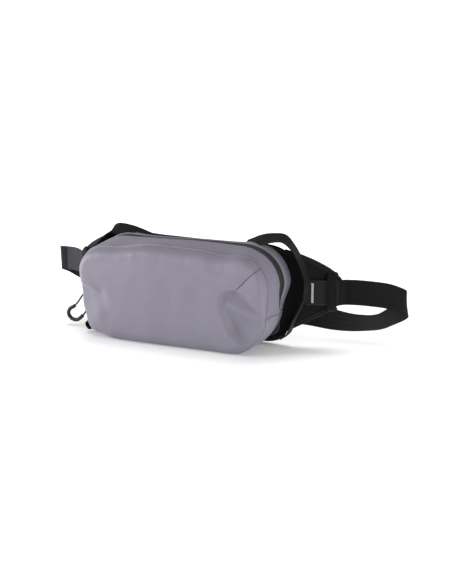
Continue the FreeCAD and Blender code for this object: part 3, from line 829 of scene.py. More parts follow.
def warp(points):
    """Soft-goods shape of the filled bag: sag, pinch and bulge."""
    x, y, z = points[..., 0], points[..., 1], points[..., 2]
    front = ease((8.0 - y) / 34.0)
    upper = ease((z - 95.0) / 40.0)
    # the top edge sags at the front, most at the left end
    z = z - 9.0 * bell(x + 98.0, 27.0) * upper * front
    z = z - (2.0 * bell(x - 40.0, 50.0) + 4.6 * bell(x - 86.0, 17.0)
             - 2.4 * bell(x - 134.0, 12.0)) * upper * front
    # the zip line stands as a crest, and the wall behind it falls towards the back
    z = z + 3.6 * bell(y - ZIP_Y, 9.0) * bell(x - 35.0, 62.0) * upper
    z = z - (4.8 * bell(x + 75.0, 62.0)
             + 1.6 * ease((x + 40.0) / 40.0) * ease((110.0 - x) / 30.0)
             ) * ease((y - 17.0) / 16.0) * upper
    # upper left corner pushed up and outward
    ear = bell(x + 142.0, 13.0) * bell(z - 126.0, 15.0) * ease((20.0 - y) / 40.0)
    x = x - 2.6 * ear
    z = z + 2.4 * ear
    # the end walls draw in towards the back near the bottom, more on the right
    x = x - (np.sign(x) * (5.0 + 4.0 * (x > 0)) * ease((y - 3.0) / 34.0)
             * ease((104.0 - z) / 46.0) * ease((np.abs(x) - 96.0) / 40.0))
    # the left end swells, and its lower corner stays square
    x = x - (4.6 * ease((-x - 110.0) / 35.0) * ease((z - 25.0) / 25.0)
             * ease((132.0 - z) / 30.0) * ease((20.0 - y) / 40.0))
    corner = bell(x + 139.0, 15.0) * bell(z - 19.0, 14.0) * ease((30.0 - y) / 50.0)
    x = x - 8.0 * corner
    z = np.maximum(z - 9.0 * corner, 0.0)
    return xyz(x, y, z)


def close_ring(half):
    """Closed ring in XZ from its right half, starting at the top centre towards +X."""
    half[0, 0] = 0.0
    half[-1, 0] = 0.0
    return np.vstack([half, half[1:-1][::-1] * np.array([-1.0, 1.0])])


def outline(y):
    upper, lower = half_outline(y)
    half = np.vstack([resample(upper, QUARTER + 1), resample(lower, QUARTER + 1)[1:]])
    full = close_ring(smoothed(half, 3))
    return xyz(full[:, 0], y, full[:, 1])


def ring_normals(ring):
    """Outward normals in the XZ plane."""
    t = np.roll(ring, -1, 0) - np.roll(ring, 1, 0)
    normals = unit(xyz(-t[:, 2], 0.0, t[:, 0]))
    if ((ring - ring.mean(0)) * normals).sum() < 0:
        normals = -normals
    return normals


def spine_points(count, half_width, rate):
    """Level line inside a ring that each ring point closes in to."""
    i = np.arange(count)
    from_centre = np.minimum(i, count - i)
    q = np.minimum(from_centre, count // 2 - from_centre) / (count // 4)
    side = np.where(i <= count // 2, 1, -1)
    return xyz(half_width * ease(q * rate) * side, 0.0, SPINE_Z)


FRONT_RING, REAR_RING = outline(Y_SEAM), outline(Y_REAR)
FRONT_NORMALS, REAR_NORMALS = ring_normals(FRONT_RING), ring_normals(REAR_RING)
# ring indices: left cross seam over the top to the right one, and the part below
ARCH = np.r_[np.arange(3 * QUARTER, RING), np.arange(0, QUARTER + 1)]
LOWER = np.arange(QUARTER, 3 * QUARTER + 1)

# ------------------------------------------------------------------ front panel
PANEL_RISE = 16.6         # how far the panel stands forward of its seam
PANEL_THICK = 0.8
FOAM_INSET, FOAM_THICK = 1.6, 3.0


def edge_roll():
    """Width of the rounded edge at each ring point."""
    x, z = FRONT_RING[:, 0], FRONT_RING[:, 2]
    roll = (14.0 + (1.0 + 5.0 * ease((x + 40.0) / 80.0)) * ease((60.0 - z) / 50.0)
            * ease((110.0 - x) / 40.0) - 5.5 * ease((x - 96.0) / 30.0) * ease((z - 20.0) / 40.0))
    # wide facet at the lower left
    roll = roll + 11.0 * ease((92.0 - z) / 20.0) * ease((-x - 96.0) / 40.0)
    return smoothed(roll, 6, closed=True)


EDGE_ROLL = edge_roll()

# outline of the hollow at the lower right, (x, z)
HOLLOW = spline([
    (84, 86), (90, 94), (101, 98), (113, 98), (127, 92), (142, 80), (160, 66), (168, 40),
    (150, 8), (128, 10), (112, 20), (101, 31), (94, 45), (89, 60), (84, 75), (84, 86)], 6)


def front_relief(x, z):
    """Depth pushed into the front panel; positive is inward."""
    def off_line(a, b):
        return segment(x, z, a, b)[0]

    inside = polygon_depth(x, z, HOLLOW)
    depth = 9.4 * ease((inside + 2.0) / 12.5)
    # fold across the hollow, and a second dip under it
    depth = depth - 4.2 * bell(off_line((98, 74), (150, 58)), 6.5) * ease(inside / 9.0)
    depth = depth + 2.4 * bell(off_line((104, 42), (140, 40)), 10.0) * ease(inside / 8.0)
    # fold that runs to the lower right corner
    depth = depth - 1.6 * bell(off_line((100, 33), (122, 17)), 3.6)
    # dart: shallow pull towards its stitch line, and the puckered inner tip
    off, along = segment(x, z, DART_START, DART_PULL_END)
    depth = depth + 1.5 * bell(off, 8.0) * (0.4 + 0.6 * ease(along * 2.0))
    depth = depth + 1.5 * np.exp(-off / 0.9)
    depth = depth + 1.8 * bell(np.hypot(x - 110.0, z - 95.0), 6.0)
    # left: hollow at the inner end of the facet
    depth = depth + 3.0 * bell(np.hypot(x + 117.0, (z - 66.0) / 1.7), 7.0)
    # facet below a ridge line: it falls away towards the left end
    ridge_z = 79.0 - (x + 140.0) * 0.30
    beyond = np.log1p(np.exp(np.clip((-x - 119.0) / 1.8, -30, 30))) * 1.8
    depth = depth + (12.0 * np.tanh(0.042 * beyond) * ease((ridge_z - z + 3.5) / 8.0)
                     * ease((z - 12.0) / 42.0))
    # the ridge itself, and a dip running down from the hollow
    depth = depth - 1.5 * bell(off_line((-156, 86), (-124, 75)), 3.4)
    depth = depth + 1.5 * bell(off_line((-118, 66), (-104, 42)), 9.0)
    # broad slack, and pull lines below the top seam
    spot = xyz(x, 3.0, z)
    depth = depth + 0.9 * noise(spot, 62.0, 2) + 0.28 * noise(spot, 24.0, 3)
    pulls = noise(xyz(x * 1.6, 0, z * 0.25), 13.0, 5)
    return depth + 0.35 * pulls * ease((z - 118.0) / 20.0)


def front_grid(inset, roll_steps, inner_steps):
    """Front panel surface moved in by inset, from the seam to the spine, and its normals."""
    points, weights, reach = [], [], []
    for angle in np.linspace(0, math.pi / 2, roll_steps + 1):
        inward = EDGE_ROLL * (1 - math.cos(angle))
        points.append(at_y(FRONT_RING - FRONT_NORMALS * inward[:, None],
                           Y_SEAM - PANEL_RISE * math.sin(angle)))
        weights.append(math.sin(angle) ** 2 * np.ones(RING))
        reach.append(inward)
    edge = FRONT_RING - FRONT_NORMALS * EDGE_ROLL[:, None]
    spine = spine_points(RING, 72.0, 1.25)
    for r in np.linspace(0, 1, inner_steps + 1)[1:]:
        row = at_y(edge * (1 - r) + spine * r, Y_SEAM - PANEL_RISE)
        points.append(row)
        weights.append(np.ones(RING))
        reach.append(EDGE_ROLL + np.linalg.norm(row[:, [0, 2]] - edge[:, [0, 2]], axis=1))
    grid, weights, reach = (np.stack(part, 1) for part in (points, weights, reach))
    x, z = grid[..., 0], grid[..., 2]
    crown = (3.4 * np.maximum(0, 1 - (x / 165.0) ** 2)
             * np.maximum(0, 1 - ((z - 74.0) / 92.0) ** 2))
    grid = warp(grid)
    grid[..., 1] += (front_relief(x, z) - crown * ease((reach - 6) / 40.0)) * weights
    normals = np.cross(np.roll(grid, -1, 0) - np.roll(grid, 1, 0), np.gradient(grid, axis=1))
    normals = normals / np.maximum(np.linalg.norm(normals, axis=2, keepdims=True), 1e-9)
    if ((grid - np.array([0.0, -10.0, SPINE_Z])) * normals).sum() < 0:
        normals = -normals
    # the panel tucks under at the stitch line, with a fine pucker along it
    tuck = -1.3 * ridge(Y_SEAM - grid[..., 1], 0.9) * (reach < 3)
    pucker = 0.16 * noise(xyz(np.arange(RING)[:, None], 0, 0), 3.5, 9) * np.exp(-reach / 1.2)
    return grid + normals * (tuck + pucker - inset)[..., None], normals


panel_grid, panel_normals = front_grid(0.0, 26, 64)
piece = shell("front_panel_skin", panel_grid, panel_grid - panel_normals * PANEL_THICK,
              panel=True)
attach(piece, COATED_FRONT, "coated_fabric", "front_panel")

foam_front = front_grid(FOAM_INSET, 14, 30)[0]
foam_back = front_grid(FOAM_INSET + FOAM_THICK, 14, 30)[0]
piece = shell("front_foam_pad", foam_front, foam_back, panel=True)
attach(piece, FOAM, "foam", "front_foam")


# -------------------------------------------------------------------- side wall
def wall(index, y, push):
    """Side wall at the given ring indices and depths y[index, column], pushed outward."""
    k = np.clip((y - Y_SEAM) / WALL_DEPTH, 0, 1)[..., None]
    points = FRONT_RING[index][:, None, :] * (1 - k) + REAR_RING[index][:, None, :] * k
    normals = FRONT_NORMALS[index][:, None, :] * (1 - k) + REAR_NORMALS[index][:, None, :] * k
    normals = unit(normals)
    return warp(at_y(points, y)) + normals * np.asarray(push)[..., None], normals


def wall_skin(name, node, mat, slot, index, y, push, thick):
    """Skin lying on the side wall, kept above the ground."""
    outer, normals = wall(index, y, push)
    outer[..., 2] = np.maximum(outer[..., 2], 0.05)
    attach(shell(name, outer, outer - normals * thick), mat, slot, node)


def even_depths(index, y_start, y_end, count):
    return np.tile(np.linspace(y_start, y_end, count), (len(index), 1))


# sample distances from an edge, dense where the hem is
EDGE_STEPS = np.array([0, .2, .45, .7, 1.0, 1.4, 1.8, 2.3, 2.9, 3.6, 4.6, 6.0, 8.0])


def span(y_start, y_end, middle):
    """Sample depths between two edge lines, with the distances to the first and second."""
    width = (y_end - y_start)[:, None]
    scale = np.minimum(1.0, width / 20.0)
    near = EDGE_STEPS[None, :] * scale
    far = width - EDGE_STEPS[None, ::-1] * scale
    m = np.linspace(0, 1, middle + 2)[1:-1][None, :]
    centre = near[:, -1:] + (far[:, :1] - near[:, -1:]) * m
    distance = np.hstack([near, centre, far])
    return y_start[:, None] + distance, distance, width - distance


arch_length = arc_length(FRONT_RING[ARCH])
from_left, from_right = arch_length, arch_length[-1] - arch_length
from_end = np.minimum(from_left, from_right)


def zip_gap(growth, reach):
    """Half opening at the zip: it closes at both ends and narrows over the top."""
    top = 1 - 0.22 * ease((from_end - 110.0) / 70.0)
    left = np.minimum(1, 0.25 + 0.75 * ease(from_left / 5.0))
    return (1.0 + growth * ease(from_right / reach)) * left * top


seam_line = np.full(len(ARCH), Y_SEAM)
zip_front = ZIP_Y - zip_gap(6.4, 36.0)
zip_rear = ZIP_Y + zip_gap(7.6, 40.0)
rear_line = np.full(len(ARCH), Y_WALL_END)


def cross_seam(distance):
    """Groove and ridge where the gussets meet the bottom panel."""
    return -1.1 * ridge(distance, 0.9) + 0.55 * ridge(distance - 2.1, 1.1)


def wrinkle(index, y):
    points = wall(index, y, 0.0)[0]
    return 0.35 * noise(points, 34.0, 11) + 0.14 * noise(points, 12.0, 12)


def front_hem(distance, rise, groove):
    """Tucked seam, raised hem and topstitch groove along the front seam."""
    return (-2.0 * ridge(distance, 0.7)
            + rise * ease(distance / 0.9) * ease((5.2 - distance) / 1.2)
            - groove * ridge(distance - 5.3, 0.6))


def rear_hem(distance, rise):
    return -1.2 * ridge(distance, 0.8) + rise * ridge(distance - 2.0, 1.1)


def front_push(near, far, y):
    """Relief of the front gusset; near is the seam side, far the zip side."""
    push = front_hem(near, 1.15, 0.55) + 0.2 * np.exp(-near / 8.0)
    push = push + 0.55 * ridge(far - 1.6, 1.5) - 0.9 * ridge(far, 0.45)
    push = push + cross_seam(from_end[:, None]) + wrinkle(ARCH, y)
    # the gusset billows a little between seam and zip
    billow = np.sin(np.clip(near / (near + far), 0, 1) * math.pi)
    return push + 1.1 * billow * ease(from_end[:, None] / 20.0)


def rear_push(near, far, y):
    """Relief of the rear gusset; near is the zip side, far the rear edge."""
    push = 0.6 * ridge(near - 1.5, 1.3) - 0.9 * ridge(near, 0.45)
    push = push + 0.5 * ridge(near - 5.2, 0.55) - 0.25 * ridge(near - 4.1, 0.5)
    push = push + rear_hem(far, 0.5)
    return push + cross_seam(from_end[:, None]) + wrinkle(ARCH, y)


SKIN_THICK = 0.9
for name, mat, start, end, push in (
        ("front_gusset", COATED_SEAMED, seam_line, zip_front, front_push),
        ("rear_gusset", COATED, zip_rear, rear_line, rear_push)):
    depths, near, far = span(start, end, 12)
    wall_skin(name + "_skin", name, mat, "coated_fabric", ARCH, depths,
              push(near, far, depths), SKIN_THICK)


def gusset_stitching(name, start, end, push, offset):
    """Topstitching at a set distance behind the gusset's front edge."""
    width = (end - start)[:, None]
    near = np.broadcast_to(offset, len(ARCH))[:, None]
    y = start[:, None] + near
    points, normals = wall(ARCH, y, push(near, width - near, y))
    stitches(name, points[3:-3, 0], normals[3:-3, 0], LILAC_THREAD, "coated_fabric",
             pitch=3.1, length=2.2, radius=0.2, lift=0.02)


ZIP_STITCH = 2.9      # from the folded edges along the zip
SEAM_STITCH = 4.0     # from the front seam
gusset_stitching("zip_topstitch_front", seam_line, zip_front, front_push,
                 zip_front - seam_line - ZIP_STITCH)
gusset_stitching("zip_topstitch_rear", zip_rear, rear_line, rear_push, ZIP_STITCH)
gusset_stitching("seam_topstitch_front", seam_line, zip_front, front_push, SEAM_STITCH)


def bottom_panel():
    length = arc_length(FRONT_RING[LOWER])
    from_cross = np.minimum(length, length[-1] - length)[:, None]
    depths, near, far = span(np.full(len(LOWER), Y_SEAM), np.full(len(LOWER), Y_WALL_END), 22)
    push = (front_hem(near, 0.9, 0.4) + rear_hem(far, 0.4) + cross_seam(from_cross)
            + wrinkle(LOWER, depths))
    wall_skin("bottom_panel_skin", "bottom_panel", COATED_SEAMED, "coated_fabric", LOWER,
              depths, push, SKIN_THICK)


bottom_panel()

# zip tape halves, just under the folded edges and a hair apart at the middle
TAPE_OVERLAP, TAPE_GAP = 2.6, 0.12
for node, start, end in (
        ("zip_tape_front", zip_front - TAPE_OVERLAP, np.full(len(ARCH), ZIP_Y - TAPE_GAP)),
        ("zip_tape_rear", np.full(len(ARCH), ZIP_Y + TAPE_GAP), zip_rear + TAPE_OVERLAP)):
    depths = start[:, None] + (end - start)[:, None] * np.linspace(0, 1, 22)[None, :]
    off_centre = np.abs(depths - ZIP_Y)
    push = -1.55 + 0.42 * ridge(off_centre - 2.1, 1.3) - 0.35 * ridge(off_centre, 0.4)
    wall_skin(node + "_skin", node, ZIP_TAPE, "zip_tape", ARCH, depths, push, 0.45)

# lining: full depth below, stopping each side of the zip above
LINING_FRONT, LINING_REAR = Y_SEAM + 2, 35.5
for name, node, index, start, end in (
        ("lining_lower", "lining", LOWER, LINING_FRONT, LINING_REAR),
        ("lining_front_arch", None, ARCH, LINING_FRONT, 2.0),
        ("lining_rear_arch", None, ARCH, 20.0, LINING_REAR)):
    wall_skin(name, node, LINING, "lining_fabric", index, even_depths(index, start, end, 14),
              -5.6, 0.5)


# ------------------------------------------------------------------ flat panels
def flat_panel(name, node, mat, slot, edge, y_front, y_back):
    """Sheet filling the edge ring between two depths."""
    spine = spine_points(len(edge), 74.0, 1.2)
    steps = np.r_[0, 0.01, np.linspace(0.03, 1, 22)]
    sheet = np.stack([edge * (1 - r) + spine * r for r in steps], 1)
    back = at_y(sheet, y_back)
    back[..., 1] += 0.12 * noise(back, 18.0, 61)
    attach(shell(name, back, at_y(sheet, y_front), panel=True), mat, slot, node)


def wall_edge(y, inset):
    """Ring just inside the side wall at depth y."""
    k = (y - Y_SEAM) / WALL_DEPTH
    return warp(at_y(FRONT_RING * (1 - k) + REAR_RING * k, y)) - REAR_NORMALS * inset


flat_panel("back_wall_panel", "back_wall", BLACK, "black_fabric", wall_edge(37.9, 0.1),
           37.9, 38.7)
flat_panel("rear_foam_panel", "rear_foam", FOAM, "foam", wall_edge(33.8, 2.4), 33.8, 37.2)

base_index = np.arange(2 * QUARTER - 50, 2 * QUARTER + 51)
wall_skin("base_foam_panel", "base_foam", FOAM, "foam", base_index,
          even_depths(base_index, Y_SEAM + 3, 33.0, 12), -1.2, 3.2)

# --------------------------------------------------------------------- back pad
PAD_SIDE = (150.2, 84.0)
# right half of the pad's outline, (x, z), split at its widest point
PAD_UPPER = [(0, 147.4), (60, 148.0), (100, 149.6), (124, 148.6), (138, 145.4),
             (149.5, 139.6), (150.2, 120), PAD_SIDE]
PAD_LOWER = [PAD_SIDE, (150.2, 60), (149.5, 24.0), (144, 14.0), (134, 7.0), (118, 3.6),
             (60, 3.0), (0, 3.0)]


def pad_ring():
    half = np.vstack([resample(PAD_UPPER, 81), resample(PAD_LOWER, 81)[1:]])
    full = close_ring(smoothed(half, 4))
    return xyz(full[:, 0], 0.0, full[:, 1])


PAD_RING = pad_ring()
PAD_NORMALS = ring_normals(PAD_RING)
PAD_LIP_Y, PAD_FACE_Y = 48.6, 53.4        # rear of the side wall, and the padded face
PAD_LIP_INSET, PAD_ROUND = 0.9, 7.0       # start and width of the rounded edge


def pad_edge(inset, y):
    return at_y(PAD_RING - PAD_NORMALS * inset, y)


flat_panel("frame_sheet_panel", "frame_sheet", STIFFENER, "stiffener", pad_edge(8.0, 39.1),
           39.1, 40.5)


def pad_relief(x, z):
    """Three padded pods side by side, with channels between and a stitched border."""
    channel = np.minimum(np.abs(x - 47.0), np.abs(x + 47.0))
    relief = -4.6 * ridge(channel, 4.2) * ease((z - 16) / 16.0) * ease((140 - z) / 16.0)
    crease = np.abs(z - SPINE_Z - 6.0 * np.cos(x / 60.0))
    relief = relief - 2.0 * ridge(crease, 3.0) * ease((128 - np.abs(x)) / 16.0)
    edge = polygon_depth(x, z, PAD_RING[::4][:, [0, 2]])
    relief = relief - 1.8 * ridge(edge - 12.0, 1.5) + 1.4 * ease((edge - 12.0) / 18.0)
    return relief + 0.35 * noise(xyz(x, 9, z), 30.0, 21)


# section of the pad's side, (y, inset)
PAD_SIDE_SECTION = [(39.4, 7.0), (39.3, 3.0), (39.6, 1.0), (40.6, 0.3), (43.0, 0.0),
                    (45.5, -0.2), (47.6, 0.2), (PAD_LIP_Y, PAD_LIP_INSET)]
side_grid = np.stack([pad_edge(inset, y) for y, inset in PAD_SIDE_SECTION], 1)
piece = shell("back_pad_side", side_grid, side_grid - PAD_NORMALS[:, None, :] * 1.0,
              closed=True)
attach(piece, BLACK, "black_fabric", "back_foam")


def back_mesh_cover():
    angles = np.linspace(0, math.pi / 2, 12)
    rows = [pad_edge(PAD_LIP_INSET + PAD_ROUND * (1 - math.cos(a)),
                     PAD_LIP_Y + (PAD_FACE_Y - PAD_LIP_Y) * math.sin(a)) for a in angles]
    edge = pad_edge(PAD_LIP_INSET + PAD_ROUND, PAD_FACE_Y)
    spine = spine_points(len(PAD_RING), 74.0, 1.2)
    rows += [at_y(edge * (1 - r) + spine * r, PAD_FACE_Y) for r in np.linspace(0, 1, 56)[1:]]
    face = np.stack(rows, 1)
    weight = np.ones(face.shape[1])
    weight[:12] = np.sin(angles) ** 2
    face[..., 1] += pad_relief(face[..., 0], face[..., 2]) * weight[None, :]
    inner = face.copy()
    inner[..., 1] -= 1.8
    attach(shell("back_mesh_cover", face, inner, panel=True), MESH, "spacer_mesh", "back_mesh")


back_mesh_cover()
piece = tube("back_edge_binding", smoothed(pad_edge(-0.2, 48.4), 1, closed=True), 1.7, 12,
             closed=True)
attach(piece, BINDING, "black_fabric", "back_binding")
stitch_line = pad_edge(3.0, 51.4)
stitch_up = np.array([[0.0, 1.0, 0.0]]) * 0.75 + PAD_NORMALS * 0.65
stitches("back_edge_stitching", np.vstack([stitch_line, stitch_line[:1]]),
         np.vstack([stitch_up, stitch_up[:1]]), BLACK_THREAD, "black_fabric",
         pitch=3.4, length=2.3, radius=0.3, lift=0.4)

# ------------------------------------------------------------------------ wings
# stations along the right wing: x, y of its mid plane, z of its top and bottom edges
WING_STATIONS = np.array([
    (146.0, 46.2, 145.0, 21.0), (152.5, 48.2, 143.5, 24.0), (160, 51.4, 141, 28),
    (168, 54.8, 138, 32.2), (176, 58.4, 134.5, 36.6), (184, 62.0, 130.8, 41),
    (192, 65.6, 126.4, 45.4), (200, 69.4, 121.2, 50.2), (206, 72.2, 116.6, 54.4),
    (211, 74.6, 111.8, 58.6), (215, 76.6, 107.2, 63.2), (218, 78.2, 102.6, 68.4),
    (220.5, 79.6, 97, 74.2), (222, 80.5, 91.5, 79.5)])
STATION_X, STATION_Y, STATION_TOP, STATION_BOTTOM = WING_STATIONS.T
# the outer stations are drawn out along the wing, by 4 mm at the tip
STRETCHED_X = STATION_X + 4.0 * ease((STATION_X - 186.0) / 34.0)
WING_ROOT_X, WING_TIP_X = 146.0, 226.0
TAB_Z = 82.0                                 # mid height of the belt tab and keeper
BELT_WIDTH, BELT_THICK = 38.0, 1.5


def wing_y(x):
    """Depth of the wing's mid plane, carried on in a straight line past the last station."""
    x = np.asarray(x, float)
    slope_y, slope_x = STATION_Y[-1] - STATION_Y[-4], STATION_X[-1] - STATION_X[-4]
    beyond = STATION_Y[-1] + (x - STATION_X[-1]) * slope_y / slope_x
    return np.where(x > STATION_X[-1], beyond, np.interp(x, STRETCHED_X, STATION_Y))


def wing_edges(count):
    """x, top z and bottom z along the wing."""
    x = WING_ROOT_X + (WING_TIP_X - WING_ROOT_X) * np.linspace(0, 1, count) ** 0.85
    return (x, smoothed(np.interp(x, STRETCHED_X, STATION_TOP), 3),
            smoothed(np.interp(x, STRETCHED_X, STATION_BOTTOM), 3))


def wing_grid(side, facing, inset=0.0):
    """Front (facing -1) or rear (+1) face of a wing."""
    run, top, bottom = wing_edges(64)
    up = np.sin(np.linspace(-math.pi / 2, math.pi / 2, 56)) * 0.5 + 0.5
    x = np.repeat(run[:, None], len(up), 1)
    z = bottom[:, None] * (1 - up)[None, :] + top[:, None] * up[None, :]
    q = np.abs(2 * up - 1)[None, :]
    full = (5.3 - 1.6 * ease((run - 165.0) / 50.0))[:, None]
    tip = np.sqrt(np.clip((226.3 - run) / 12.0, 0, 1))[:, None]
    half = 1.1 + (full - 1.1) * (1 - q ** 3.2) ** 0.62 * tip
    # stitched line inside the edge
    edge = np.minimum(top[:, None] - z, z - bottom[:, None])
    edge = np.minimum(edge, (WING_TIP_X - x) * 0.9)
    half = half - 0.9 * ridge(edge - 9.5, 1.3) + 0.25 * noise(xyz(x, facing, z), 22.0, 31)
    if facing > 0:
        half = half + 0.6 * np.cos((z - TAB_Z) / 9.0) * ease((edge - 11) / 8.0)
    else:
        half = half + 0.35 * ridge(z - TAB_Z, 26.0)
    return xyz(side * x, wing_y(x) + facing * (half - inset), z)


def wing_layers(side, tag, blend):
    """Front cloth, rear mesh and the foam between them."""
    for part, facing, mat, slot in (("face", -1, BLACK, "black_fabric"),
                                    ("mesh", 1, MESH, "spacer_mesh")):
        outer = wing_grid(side, facing)
        inner = outer.copy()
        inner[..., 1] -= facing * 0.8
        piece = shell("wing_%s_cover_%s" % (part, tag), outer, inner)
        attach(piece, mat, slot, "wing_%s_%s" % (part, tag), blend=blend)
    piece = shell("wing_foam_core_" + tag, wing_grid(side, -1, 0.9), wing_grid(side, 1, 0.9))
    attach(piece, FOAM, "foam", "wing_foam_" + tag, blend=blend)


# section of the folded binding: across the wing's thickness, and outward from its edge
BINDING_SECTION = np.array([
    (-2.3, -6.5), (-2.6, -3.5), (-2.3, -0.8), (-1.3, 0.7), (0.0, 1.1), (1.3, 0.7),
    (2.3, -0.8), (2.6, -3.5), (2.3, -6.5), (1.2, -6.6), (1.2, -2.0), (0, -0.6),
    (-1.2, -2.0), (-1.2, -6.6)])


def wing_binding(side, tag, blend):
    """Binding folded over the wing's edge, and the stitching along its front."""
    x, top, bottom = wing_edges(60)
    upper, lower = xyz(x, wing_y(x), top), xyz(x, wing_y(x), bottom)
    tip_y = float(wing_y(228.0))
    tip = spline([upper[-1], (228.0, tip_y, 88.5), (228.0, tip_y, 82.5), lower[-1]], 5)
    path = resample(smoothed(np.vstack([upper[:-1], tip, lower[:-1][::-1]]), 2), 170)
    through = unit(np.array([-0.42, 0.9, 0.0]))
    outward = unit(np.cross(unit(np.gradient(path, axis=0)), through))
    centre = np.array([170.0, 58.0, 84.0])
    outward *= np.sign(((path - centre) * outward).sum(1))[:, None]
    grid = (path[:, None, :] + through * BINDING_SECTION[None, :, :1]
            + outward[:, None, :] * BINDING_SECTION[None, :, 1:])
    count = len(BINDING_SECTION)
    piece = new_object("wing_edge_binding_" + tag, mirrored(grid.reshape(-1, 3), side),
                       loft_faces(len(path), count),
                       uv_grid(arc_length(path)[:, None], 1.2 * np.arange(count)[None, :]))
    tidy(piece)
    attach(piece, BINDING, "black_fabric", "wing_binding_" + tag, blend=blend)
    stitches("wing_edge_stitching_" + tag,
             mirrored(path + through * -2.62 + outward * -4.6, side), mirrored(-through, side),
             BLACK_THREAD, "black_fabric", pitch=3.2, length=2.1, radius=0.28, lift=0.15,
             blend=blend)


def belt_tab(side, tag, body):
    """Smooth tab on the wing's front, stitched along both edges."""
    x = np.linspace(176.5, 221.5, 40)
    path = xyz(side * x, wing_y(x) - 7.1 + 0.9 * ease((x - 214) / 8), TAB_Z)
    piece = ribbon("belt_tab_" + tag, path, (0, 0, 1), BELT_WIDTH, BELT_THICK, 10,
                   wave=0.15, seed=3)
    attach(piece, TAB_CLOTH, "webbing", "belt_anchor_" + tag, body)
    for k, offset_z in enumerate((-17.3, 17.3)):
        line = path + np.array([0.0, -0.78, offset_z])
        stitches("tab_edge_stitching_%s_%d" % (tag, k), line[1:-1], (0.42 * side, -0.9, 0),
                 BLACK_THREAD, "webbing", pitch=2.8, length=1.9, radius=0.26, lift=0.12,
                 body=body)


KEEPER_X, KEEPER_WIDTH = 213.5, 13.5
# keeper from over the wing's top edge round the front to its lower edge:
# x from KEEPER_X, y from the wing's mid plane, z
KEEPER_PATH = [
    (-1.5, 3.2, 108.0), (-0.8, 0.6, 111.2), (-0.2, -3.6, 112.4), (0, -7.6, 110.6),
    (0.3, -9.8, 106.2), (0.5, -10.6, 100.5), (0.6, -10.5, 92.0), (0.6, -10.3, 82.0),
    (0.6, -10.4, 72.0), (0.4, -10.2, 63.5), (0, -9.0, 57.6), (-0.5, -5.6, 54.4),
    (-1, -1.4, 55.0), (-1.5, 2.6, 58.5)]


def belt_keeper(side, tag, body):
    """Elastic loop over the belt, gathered at its upper and lower turns."""
    path = spline(np.array(KEEPER_PATH) + [KEEPER_X, float(wing_y(KEEPER_X)), 0], 8)
    width = (KEEPER_WIDTH - 5.5 * ridge(path[:, 2] - 113.0, 3.6)
             - 3.6 * ridge(path[:, 2] - 54.0, 4.0))
    piece = ribbon("belt_keeper_loop_" + tag, mirrored(path, side), (side * 0.9, 0.43, 0),
                   KEEPER_WIDTH, 1.6, 10, taper=width / KEEPER_WIDTH, wave=0.3, seed=5)
    attach(piece, ELASTIC, "elastic", "belt_keeper_" + tag, body)


SIDES = ((1, "right"), (-1, "left"))
for side, tag in SIDES:
    body = "wing_" + tag
    root = ("bag", body, (side * 147.5, 54, 84), (side * 157.0, 54, 84))
    wing_layers(side, tag, root)
    wing_binding(side, tag, root)
    belt_tab(side, tag, body)
    belt_keeper(side, tag, body)


def contrast_bartack():
    """Zigzag of light thread up the right tab."""
    points = []
    for k in range(46):
        x = 184.6 + (0.4 if k % 2 else 4.0)
        points.append((x, float(wing_y(x)) - 8.05, 67.2 + k * 29.6 / 45.0))
    piece = tube("contrast_bartack", resample(points, 46 * 5), 0.46, 7)
    attach(piece, BARTACK, "bartack_thread", "contrast_bartack_right", "wing_right")


contrast_bartack()

# ----------------------------------------------------------------------- straps
# strap tables: centre line x, y, z, then the width direction; x is mirrored on the left
UPPER_RIGHT = [
    (86, 36, 151.0, 0, 1, .3), (97, 36.4, 154.0, 0, 1, .45), (107, 37, 157.0, 0, 1, .6),
    (118, 37.4, 160.0, 0, 1, .62), (130, 37.8, 162.4, -.02, 1, .5),
    (144, 38, 163.6, -.06, 1, .34), (155, 37.6, 158.5, -.1, .98, .14),
    (166.5, 37, 146, -.12, .97, 0), (174.5, 37.4, 132, -.12, .97, 0),
    (180.5, 38.2, 118, -.12, .97, 0), (184, 39, 104, -.12, .96, 0),
    (183.6, 39.2, 92, -.12, .96, 0), (182.2, 39.2, 81, -.12, .95, 0)]
UPPER_LEFT = [
    (78, 36, 147.6, 0, 1, .20), (90, 36, 149.0, 0, 1, .42), (102, 36.3, 151.0, 0, 1, .6),
    (114, 36.8, 153.0, 0, 1, .68), (126, 37, 154.6, 0, 1, .68), (136, 36.8, 155.0, 0, 1, .66),
    (143, 35.8, 153.0, -.02, 1, .5), (147, 34.4, 148, -.06, 1, .28),
    (151, 32.8, 142, -.14, .98, .05), (157, 31.8, 135, -.2, .97, 0),
    (167, 32, 124, -.25, .96, 0), (179.5, 35.4, 106.0, -.3, .95, 0),
    (183.6, 39.0, 92, -.3, .95, 0), (183.6, 39.4, 81, -.3, .95, 0)]
LOWER_STRAP = [
    (182.4, 39.4, 84.0, -.12, .95, 0), (181.4, 39.2, 76, -.12, .95, 0),
    (177.6, 39, 68, -.12, .96, 0), (172.4, 38.6, 56, -.12, .97, 0),
    (167.4, 38.0, 46, -.12, .98, 0), (163.4, 37.6, 37, -.1, .99, 0),
    (159.6, 38.6, 28.5, -.06, 1, 0), (154.5, 40.6, 20, -.02, 1, 0), (145.5, 42.6, 12.0, 0, 1, 0)]


def side_strap(level, table, side, tag, width, thick, start, end, seed):
    rows = spline(table, 7)
    piece = ribbon("%s_strap_%s" % (level, tag), mirrored(smoothed(rows[:, :3], 2), side),
                   mirrored(rows[:, 3:], side), width, thick, 12, wave=0.22, curl=0.12,
                   seed=seed + side)
    blend = ("bag", "wing_" + tag, mirrored(start, side), mirrored(end, side))
    attach(piece, WEBBING, "webbing", "%s_stabiliser_%s" % (level, tag), blend=blend)


